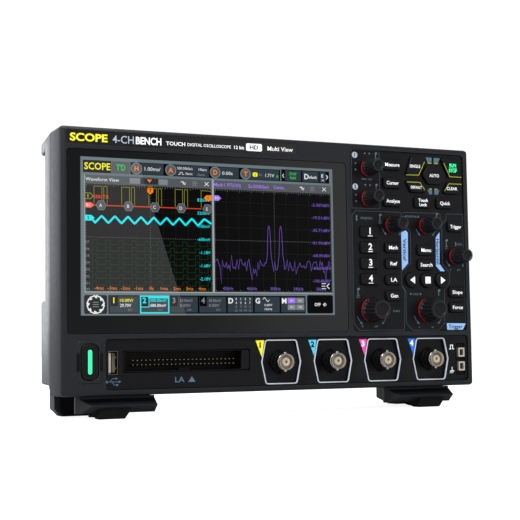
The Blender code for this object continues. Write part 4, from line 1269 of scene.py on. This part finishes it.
def draw_headers(d):
    """The title bars of the two plots, each with three small buttons, and the bar between the plots."""
    for u0, u1, button in ((0.0125, 0.497, 0.384), (0.505, 0.9935, 0.868)):
        d.box("bar", u0, u1, 0.112, 0.167, 1)
        bend = [(-0.009, 0.132), (0.001, 0.132), (0.001, 0.144), (0.010, 0.150)]
        d.line("white", [(button + u, v) for u, v in bend], 0.35, 3)
        tick = [(-0.003, 0.126), (0.006, 0.140), (0.012, 0.136)]
        d.line("white", [(button + u, v) for u, v in tick], 0.3, 3)
        for k in (-1, 0, 1):
            v = 0.139 + k * 0.011
            d.line("grey", [(button + 0.037, v), (button + 0.055, v)], 0.4, 3)
    for u in (0.477, 0.965):
        for k in (-0.013, 0.013):
            d.line("white", [(u - 0.008, 0.139 + k), (u + 0.008, 0.139 - k)], 0.35, 3)
    d.text("white", "Waveform View", 0.016, 0.139, 1.9, 0.124, 3, anchor=0.0)
    d.box("grey", 0.180, 0.219, 0.121, 0.157, 2)
    d.box("grey", 0.290, 0.325, 0.121, 0.157, 2)
    d.box("slate", 0.221, 0.288, 0.119, 0.157, 2)
    for i in range(5):
        u = 0.226 + 0.0122 * i
        d.line("grid", [(u, 0.155), (u + 0.006, 0.122), (u + 0.011, 0.155)], 0.5, 3)
    d.shape("orange", [(0.245, 0.126), (0.264, 0.126), (0.2545, 0.147)], 4)
    for words, u, span in (
        ("Math1", 0.528, 0.043), ("FFT(CH2)", 0.587, 0.056), ("Sa:500kSa/s", 0.688, 0.085),
        ("Cente...", 0.776, 0.052),
    ):
        d.text("violet", words, u, 0.139, 2.0, span, 3, 0.01)
    d.box("edge", 0.4985, 0.5045, 0.105, 0.856, 2)


def draw_grid(d, u0, u1, centre):
    """A plot's field, its borders, its grid, its dotted axes and the ticks round it."""
    v0, v1, middle_v = PLOT_TOP, PLOT_BOTTOM, 0.507
    d.box("plot", u0, u1, v0, v1, 1)
    d.line("edge", [(u0 - 0.001, v0 - 0.056), (u0 - 0.001, v1 + 0.003)], 0.35, 2)
    d.line("edge", [(u0 - 0.003, v1 + 0.003), (u1 + 0.001, v1 + 0.003)], 0.55, 2)
    for k in range(-4, 5):
        u = centre + k * 0.0486
        if u0 < u < u1 and k:
            d.line("grid", [(u, v0 + 0.006), (u, v1 - 0.006)], 0.14, 2)
    for k in range(-3, 5):
        v = middle_v + k * 0.0845
        if v0 < v < v1 and k:
            d.line("grid", [(u0 + 0.004, v), (u1 - 0.004, v)], 0.14, 2)
    d.inks["dot"].dots(lcd(u0 + 0.004, middle_v), lcd(u1 - 0.004, middle_v), 1.35, 0.3, 2)
    d.inks["dot"].dots(lcd(centre, v0 + 0.006), lcd(centre, v1 - 0.02), 1.35, 0.3, 2)
    tick_u, tick_v = 0.0098, 0.0169
    for k in range(int((u1 - u0) / tick_u)):
        u = u0 + 0.006 + k * tick_u
        for v, size in ((v0, 0.011 if k % 5 else 0.017), (v1, -0.009 if k % 5 else -0.015)):
            d.line("grey", [(u, v + size * 0.15), (u, v + size)], 0.16, 2)
    for k in range(int((v1 - v0) / tick_v)):
        v = v0 + 0.008 + k * tick_v
        for u, side in ((u0, 1), (u1, -1)):
            d.line("grey", [(u + side * 0.001, v), (u + side * 0.005, v)], 0.16, 2)


def draw_left_plot(d):
    """Channel 1 with the words of its bus, channel 2, eight logic lines and the scales."""
    draw_serial_trace(d)
    draw_bus(d)
    draw_second_trace(d)
    draw_logic_lines(d)
    trigger = [(0.246, 0.183), (0.269, 0.183), (0.269, 0.207), (0.2575, 0.223), (0.246, 0.207)]
    d.shape("orange", trigger, 5)
    d.text("black", "T", 0.2575, 0.197, 1.7, None, 6, 0.02)
    d.line("amber", [(0.248, 0.174), (0.267, 0.174)], 0.5, 4)
    d.tag("orange", 0.465, 0.4965, 0.231, 0.036, -1, 6)
    d.text("black", "1", 0.482, 0.231, 1.5, None, 7, 0.02)
    for i, words in enumerate(("820mV", "320mV", "-180mV", "-680mV", "-1.18V", "-1.68V", "-2.18V")):
        span = 0.050 if "m" in words else 0.043
        d.text("cyan", words, 0.489, 0.2465 + 0.0865 * i, 1.75, span, 5, anchor=1.0)
    for i in range(9):
        words, span = (f"{i - 4}ms", 0.034 if i < 4 else 0.028) if i != 4 else ("0s", 0.016)
        d.text("orange", words, 0.0638 + 0.0489 * i, 0.829, 1.75, span, 5)


def draw_serial_trace(d):
    end, top, base = LEFT_PLOT[1], 0.183, 0.297
    levels = (base, top, top, base)
    steps = [*zip((0, 0, 0.029, 0.029), levels), *zip((0.036, 0.036, 0.0485, 0.0485), levels)]
    for start in (0.047, 0.1495, 0.252, 0.353):
        d.line("olive", [(start + u, v) for u, v in steps], 0.26, 3)
    last = 0.455
    d.line("olive", [(last, base), (last, top), (end - 0.001, top + 0.003)], 0.26, 3)


def draw_bus(d):
    bus = 0.3045
    d.line("red", [(0.045, bus), (0.4555, bus)], 0.5, 4)
    for u, letter in zip((0.073, 0.175, 0.275, 0.377, 0.4795), "ABCDE"):
        x, drop = lcd(u, bus)
        d.inks["bar"].shape([(x + a, drop - b) for a, b in circle(3.0, 6)], 5)
        d.inks["grey"].line([(x + a, drop - b) for a, b in circle(2.95, 6)], 0.22, 6, True)
        d.text("white", letter, u - 0.002, bus, 1.8, None, 6)
    d.tag("salmon", 0.0135, 0.0475, bus, 0.034, 1, 4)
    d.text("white", "B1", 0.025, bus, 1.5, None, 5)
    d.text("red", "SER-TX", 0.074, 0.250, 1.9, 0.056, 4, 0.01)
    channel = [(0.0135, 0.229), (0.034, 0.229), (0.044, 0.247), (0.034, 0.265), (0.0135, 0.265)]
    d.line("olive", channel, 0.4, 4, True)
    d.text("yellow", "1", 0.025, 0.247, 1.7, None, 5)


def draw_second_trace(d):
    """A zigzag between two levels with each of its corners cut."""
    end = LEFT_PLOT[1]
    levels = (0.4165, 0.3705)
    swings = [(0.0505 + 0.02445 * k, levels[k % 2]) for k in range(18)]
    wave = [Vector(p) for p in ((0.043, 0.398), *swings, (end - 0.0015, 0.402))]
    softened = [wave[0]]
    for before, here, after in zip(wave, wave[1:], wave[2:]):
        softened += [here.lerp(before, 0.16), here.lerp((before + after) / 2, 0.06), here.lerp(after, 0.16)]
    d.line("cyan", softened + wave[-1:], 1.15, 4)
    d.tag("cyan", 0.0135, 0.049, 0.386, 0.036, 1, 5)
    d.text("black", "2", 0.026, 0.386, 1.7, None, 6, 0.02)


def draw_logic_lines(d):
    end = LEFT_PLOT[1]
    pulse, period, spacing, lowest = 0.0155, 0.0487, 0.0435, 0.843
    for i in range(8):
        high, low = 0.525 + spacing * i, min(0.5515 + spacing * i, lowest)
        points = [(0.030, low)]
        u = 0.0405
        while u < end - 0.012:
            points += [(u, low), (u, high), (u + pulse, high), (u + pulse, low)]
            u += period
        points.append((end - 0.003, low))
        d.line("moss", points, 0.24, 3)
        d.text("grey", f"D{7 - i}", 0.0225, (high + low) / 2, 1.35, 0.0145, 3)


def draw_right_plot(d):
    """A noise floor with two narrow peaks, and the scales of its level and frequency."""
    draw = random.Random(7)
    start, end = RIGHT_PLOT
    peaks = (0.7275, 0.7765)
    points = []
    u = start + 0.002
    while u < end - 0.002:
        v = 0.665 + draw.uniform(-0.035, 0.045)
        if draw.random() < 0.07:
            v += draw.uniform(0.04, 0.09)
        if draw.random() < 0.06:
            v -= 0.035
        if min(abs(u - p) for p in peaks) > 0.013:
            points.append((u, v))
        u += 0.0043 + draw.uniform(0.0, 0.0022)
    slope = ((0.0125, 0.655), (0.008, 0.60), (0.0045, 0.44), (0.001, 0.404))
    points += [(p + side * reach, v) for p in peaks for reach, v in slope for side in (-1, 1)]
    d.line("purple", sorted(points), 0.26, 3)
    for i, level in enumerate(("-3.307", "-19.51", "-35.71", "-51.90", "-68.09", "-84.29", "-100.48")):
        d.text("purple", f"{level}dBV", 0.9865, 0.2505 + 0.0868 * i, 1.75, 0.078, 5, 0.01, 1.0)
    for i in range(5):
        d.text("purple", f"{42 + 4 * i}kHz", 0.558 + 0.0967 * i, 0.8265, 1.75, 0.042, 5, 0.01)
    d.tag("violet", start, 0.535, 0.229, 0.036, 1, 5)
    d.text("white", "M1", 0.517, 0.229, 1.4, None, 6)
    for k in (-1, 0, 1):
        v = 0.806 + k * 0.017
        d.line("white", [(0.947, v), (0.962 + 0.003 * abs(k), v)], 0.4, 6)
    d.line("white", [(0.980, 0.788), (0.969, 0.806), (0.980, 0.824)], 0.5, 6)


BAR_TOP, BAR_BOTTOM = 0.8735, 0.9885
# Each channel: its number, ink, the ink of its offset, left, right, scale and offset.
CHANNEL_CELLS = (
    ("1", "yellow", "white", 0.1015, 0.2125, "10.00V/", "29.70V"),
    ("2", "cyan", "white", 0.2155, 0.3265, "500.00mV/", "680.00mV"),
    ("3", "grey", "grey", 0.3285, 0.439, "50.00mV/", "0.00V"),
    ("4", "grey", "grey", 0.442, 0.5515, "50.00mV/", "0.00V"),
)
OTHER_CELLS = (("D", 0.554, 0.6605), ("G", 0.663, 0.770), ("M", 0.7725, 0.8755))


def draw_bottom_bar(d):
    top, bottom = BAR_TOP, BAR_BOTTOM
    d.box("black", 0.0095, 0.0935, top, bottom + 0.004, 1, 1.0)
    draw_gear(d, 0.0515, 0.9335)
    d.box("black", 0.098, 0.877, top, bottom + 0.004, 1)
    for cell in CHANNEL_CELLS:
        draw_channel_cell(d, *cell)
    for name, u0, u1 in OTHER_CELLS:
        d.box("slate", u0 + 0.002, u1 - 0.002, top + 0.008, bottom - 0.004, 2)
        d.text("white", name, u0 + 0.0145, top + 0.034, 3.2, None, 4, 0.03)
    draw_logic_cell(d, OTHER_CELLS[0][1])
    draw_generator_cell(d, OTHER_CELLS[1][1])
    draw_math_cell(d, OTHER_CELLS[2][1])
    d.box("black", 0.8835, 0.9945, top - 0.006, bottom + 0.004, 1, 1.0)
    d.text("white", "OFF", 0.928, 0.932, 1.9, 0.026, 3, 0.02)
    u, v = 0.957, 0.932
    d.shape("white", [(u - 0.006, v), (u + 0.001, v - 0.014), (u + 0.001, v + 0.014)], 3)
    d.line("white", [(u + 0.004, v - 0.010), (u + 0.008, v), (u + 0.004, v + 0.010)], 0.35, 3)


def draw_channel_cell(d, name, ink, offset_ink, u0, u1, scale, offset):
    """A channel's number, scale and offset. The second channel is the one selected."""
    top, bottom = BAR_TOP, BAR_BOTTOM
    chosen = name == "2"
    tab = u0 + (u1 - u0) * 0.28
    d.box("slate", u0 + 0.002, u1 - 0.002, top + 0.008, bottom - 0.004, 2)
    d.box("black", u0 + 0.0035, tab, top + 0.001, top + 0.070, 3)
    d.text(ink, name, (u0 + tab) / 2 + 0.001, top + 0.033, 3.2, None, 4, 0.03)
    d.text(ink, scale, tab + 0.008, top + 0.033, 1.7, 0.062 if chosen else 0.05, 5, 0.01, 0.0)
    d.text(offset_ink, offset, tab + 0.008, top + 0.065, 1.7, 0.060 if chosen else 0.042, 5, 0.01, 0.0)
    d.text("grey", "DC", u0 + (u1 - u0) * 0.70, top + 0.094, 1.2, 0.016)
    if chosen:
        d.box("cyan", tab, u1 - 0.004, top + 0.011, top + 0.020, 4)
        d.outline("cyan", u0 + 0.002, u1 - 0.002, top + 0.006, bottom - 0.002, 0.75, 5)
        d.outline("cyan", u0 + 0.002, tab + 0.003, top + 0.006, top + 0.076, 0.4, 4)


def draw_logic_cell(d, u0):
    for number in range(16):
        row, column = divmod(number, 4)
        u, v = u0 + 0.036 + 0.0185 * column, BAR_TOP + 0.022 + 0.0255 * row
        d.text("white" if row < 2 else "grey", str(number), u, v, 1.3)


def draw_generator_cell(d, u0):
    left, axis, step, swing = u0 + 0.036, BAR_TOP + 0.026, 0.0022, 0.013
    wave = [(left + step * k, axis - swing * math.sin(k * math.pi / 6)) for k in range(13)]
    d.line("white", wave, 0.3, 4)
    d.text("white", "0.00V", u0 + 0.058, BAR_TOP + 0.062, 1.3, 0.032)
    d.text("white", "1kHz", u0 + 0.058, BAR_TOP + 0.089, 1.3, 0.030)


def draw_math_cell(d, u0):
    for number in range(4):
        row, column = divmod(number, 2)
        left, up = u0 + 0.029 + 0.036 * column, BAR_TOP + 0.014 + 0.044 * row
        d.box("grey" if number else "violet", left, left + 0.033, up, up + 0.037, 4)
        d.text("white", f"M{number + 1}", left + 0.0165, up + 0.0185, 1.1, None, 5)


def draw_gear(d, u, v):
    x, drop = lcd(u, v)
    count, root, crown = 8, 3.9, 4.9
    teeth = []
    for k in range(count):
        for offset, radius in ((-0.20, root), (-0.13, crown), (0.13, crown), (0.20, root)):
            a = 2 * math.pi * (k + 0.5) / count + offset * math.pi * 0.625
            teeth.append((x + radius * math.cos(a), drop + radius * math.sin(a)))
    d.inks["white"].line(teeth, 0.65, 3, True)
    for y in (-1.2, 0.0, 1.2):
        d.inks["grey"].line([(x - 1.6, drop + y), (x + 1.7, drop + y)], 0.4, 3)


# Surroundings.


def make_camera():
    data = bpy.data.cameras.new("camera")
    data.lens = 83.43
    data.sensor_width = 36.0
    camera = bpy.data.objects.new("camera", data)
    forward = Vector((0.4084, 0.9100, 0.0714)).normalized()
    up = Vector((-0.0162, -0.0710, 0.9973))
    right = forward.cross(up).normalized()
    up = right.cross(forward)
    turn = Matrix((right, up, -forward)).transposed().to_4x4()
    camera.matrix_world = Matrix.Translation((-0.3012, -0.6668, 0.0389)) @ turn
    bpy.context.scene.collection.objects.link(camera)
    bpy.context.scene.camera = camera


def make_floor():
    bm = bmesh.new()
    bmesh.ops.create_grid(bm, x_segments=1, y_segments=1, size=6.0)
    mesh = bpy.data.meshes.new("floor")
    bm.to_mesh(mesh)
    bm.free()
    floor = bpy.data.objects.new("floor", mesh)
    bpy.context.scene.collection.objects.link(floor)
    made = Surface("floor")
    shade = made.mix(made.noise(400.0, 2.0), (0.48, 0.48, 0.48), (0.52, 0.52, 0.52))
    made.link(shade, made.shader.inputs["Base Color"])
    made.shader.inputs["Roughness"].default_value = 0.7
    made.shader.inputs["Emission Color"].default_value = (0.88, 0.88, 0.88, 1.0)
    seen = made.node("ShaderNodeLightPath").outputs["Is Camera Ray"]
    made.link(seen, made.shader.inputs["Emission Strength"])
    mesh.materials.append(made.material)


def make_world():
    """A soft studio: bright behind the object and to its sides, and dimmer in front of it."""
    world = bpy.data.worlds.new("studio")
    world.use_nodes = True
    tree = world.node_tree
    shade = tree.nodes["Background"]
    kinds = ("TexCoord", "SeparateXYZ", "ValToRGB", "MapRange", "Background", "LightPath", "MixShader")
    coords, split, ramp, scale, bright, path, mix = (tree.nodes.new(f"ShaderNode{kind}") for kind in kinds)
    scale.inputs["From Min"].default_value = -1.0
    tree.links.new(coords.outputs["Generated"], split.inputs["Vector"])
    tree.links.new(split.outputs["Y"], scale.inputs["Value"])
    tree.links.new(scale.outputs["Result"], ramp.inputs["Fac"])
    stops = ((0.0, 0.055), (0.40, 0.06), (0.62, 0.17), (0.92, 0.23), (0.985, 0.60), (1.0, 0.72))
    elements = ramp.color_ramp.elements
    while len(elements) < len(stops):
        elements.new(0.5)
    for element, (position, value) in zip(elements, stops):
        element.position = position
        element.color = (value * 0.97, value, value * 1.06, 1.0)
    bright.inputs["Color"].default_value = (1.0, 1.0, 1.0, 1.0)
    bright.inputs["Strength"].default_value = 1.05
    shade.inputs["Strength"].default_value = 4.0
    tree.links.new(ramp.outputs["Color"], shade.inputs["Color"])
    tree.links.new(path.outputs["Is Camera Ray"], mix.inputs["Fac"])
    tree.links.new(shade.outputs["Background"], mix.inputs[1])
    tree.links.new(bright.outputs["Background"], mix.inputs[2])
    tree.links.new(mix.outputs["Shader"], tree.nodes["World Output"].inputs["Surface"])
    bpy.context.scene.world = world


def softbox(name, location, target, size, power):
    data = bpy.data.lights.new(name, "AREA")
    data.shape = "RECTANGLE"
    data.size, data.size_y = size
    data.energy = power
    light = bpy.data.objects.new(name, data)
    light.location = location
    light.rotation_mode = "QUATERNION"
    light.rotation_quaternion = (Vector(target) - Vector(location)).to_track_quat("-Z", "Y")
    bpy.context.scene.collection.objects.link(light)
    return light


def make_lights():
    softbox("softbox_above", (-0.45, -0.55, 1.1), (0.0, 0.0, 0.07), (0.9, 0.5), 8.5)
    softbox("softbox_left", (-1.2, -0.15, 0.5), (0.0, 0.0, 0.08), (0.5, 0.9), 3.4)
    card = softbox("card_right", (1.15, -1.5, 0.35), (0.0, 0.0, 0.08), (1.0, 0.9), 2.0)
    card.data.diffuse_factor = 0.0


def main():
    make_housing()
    make_badge()
    make_legs()
    make_keys()
    make_knobs()
    make_power_button()
    make_inputs()
    make_hex_rims()
    make_logic_header()
    make_usb_port()
    make_boards()
    make_inside()
    make_panel_marks()
    make_socket_marks()
    draw_display()
    make_floor()
    make_world()
    make_lights()
    make_camera()
    bpy.context.scene.view_settings.view_transform = "Standard"


main()
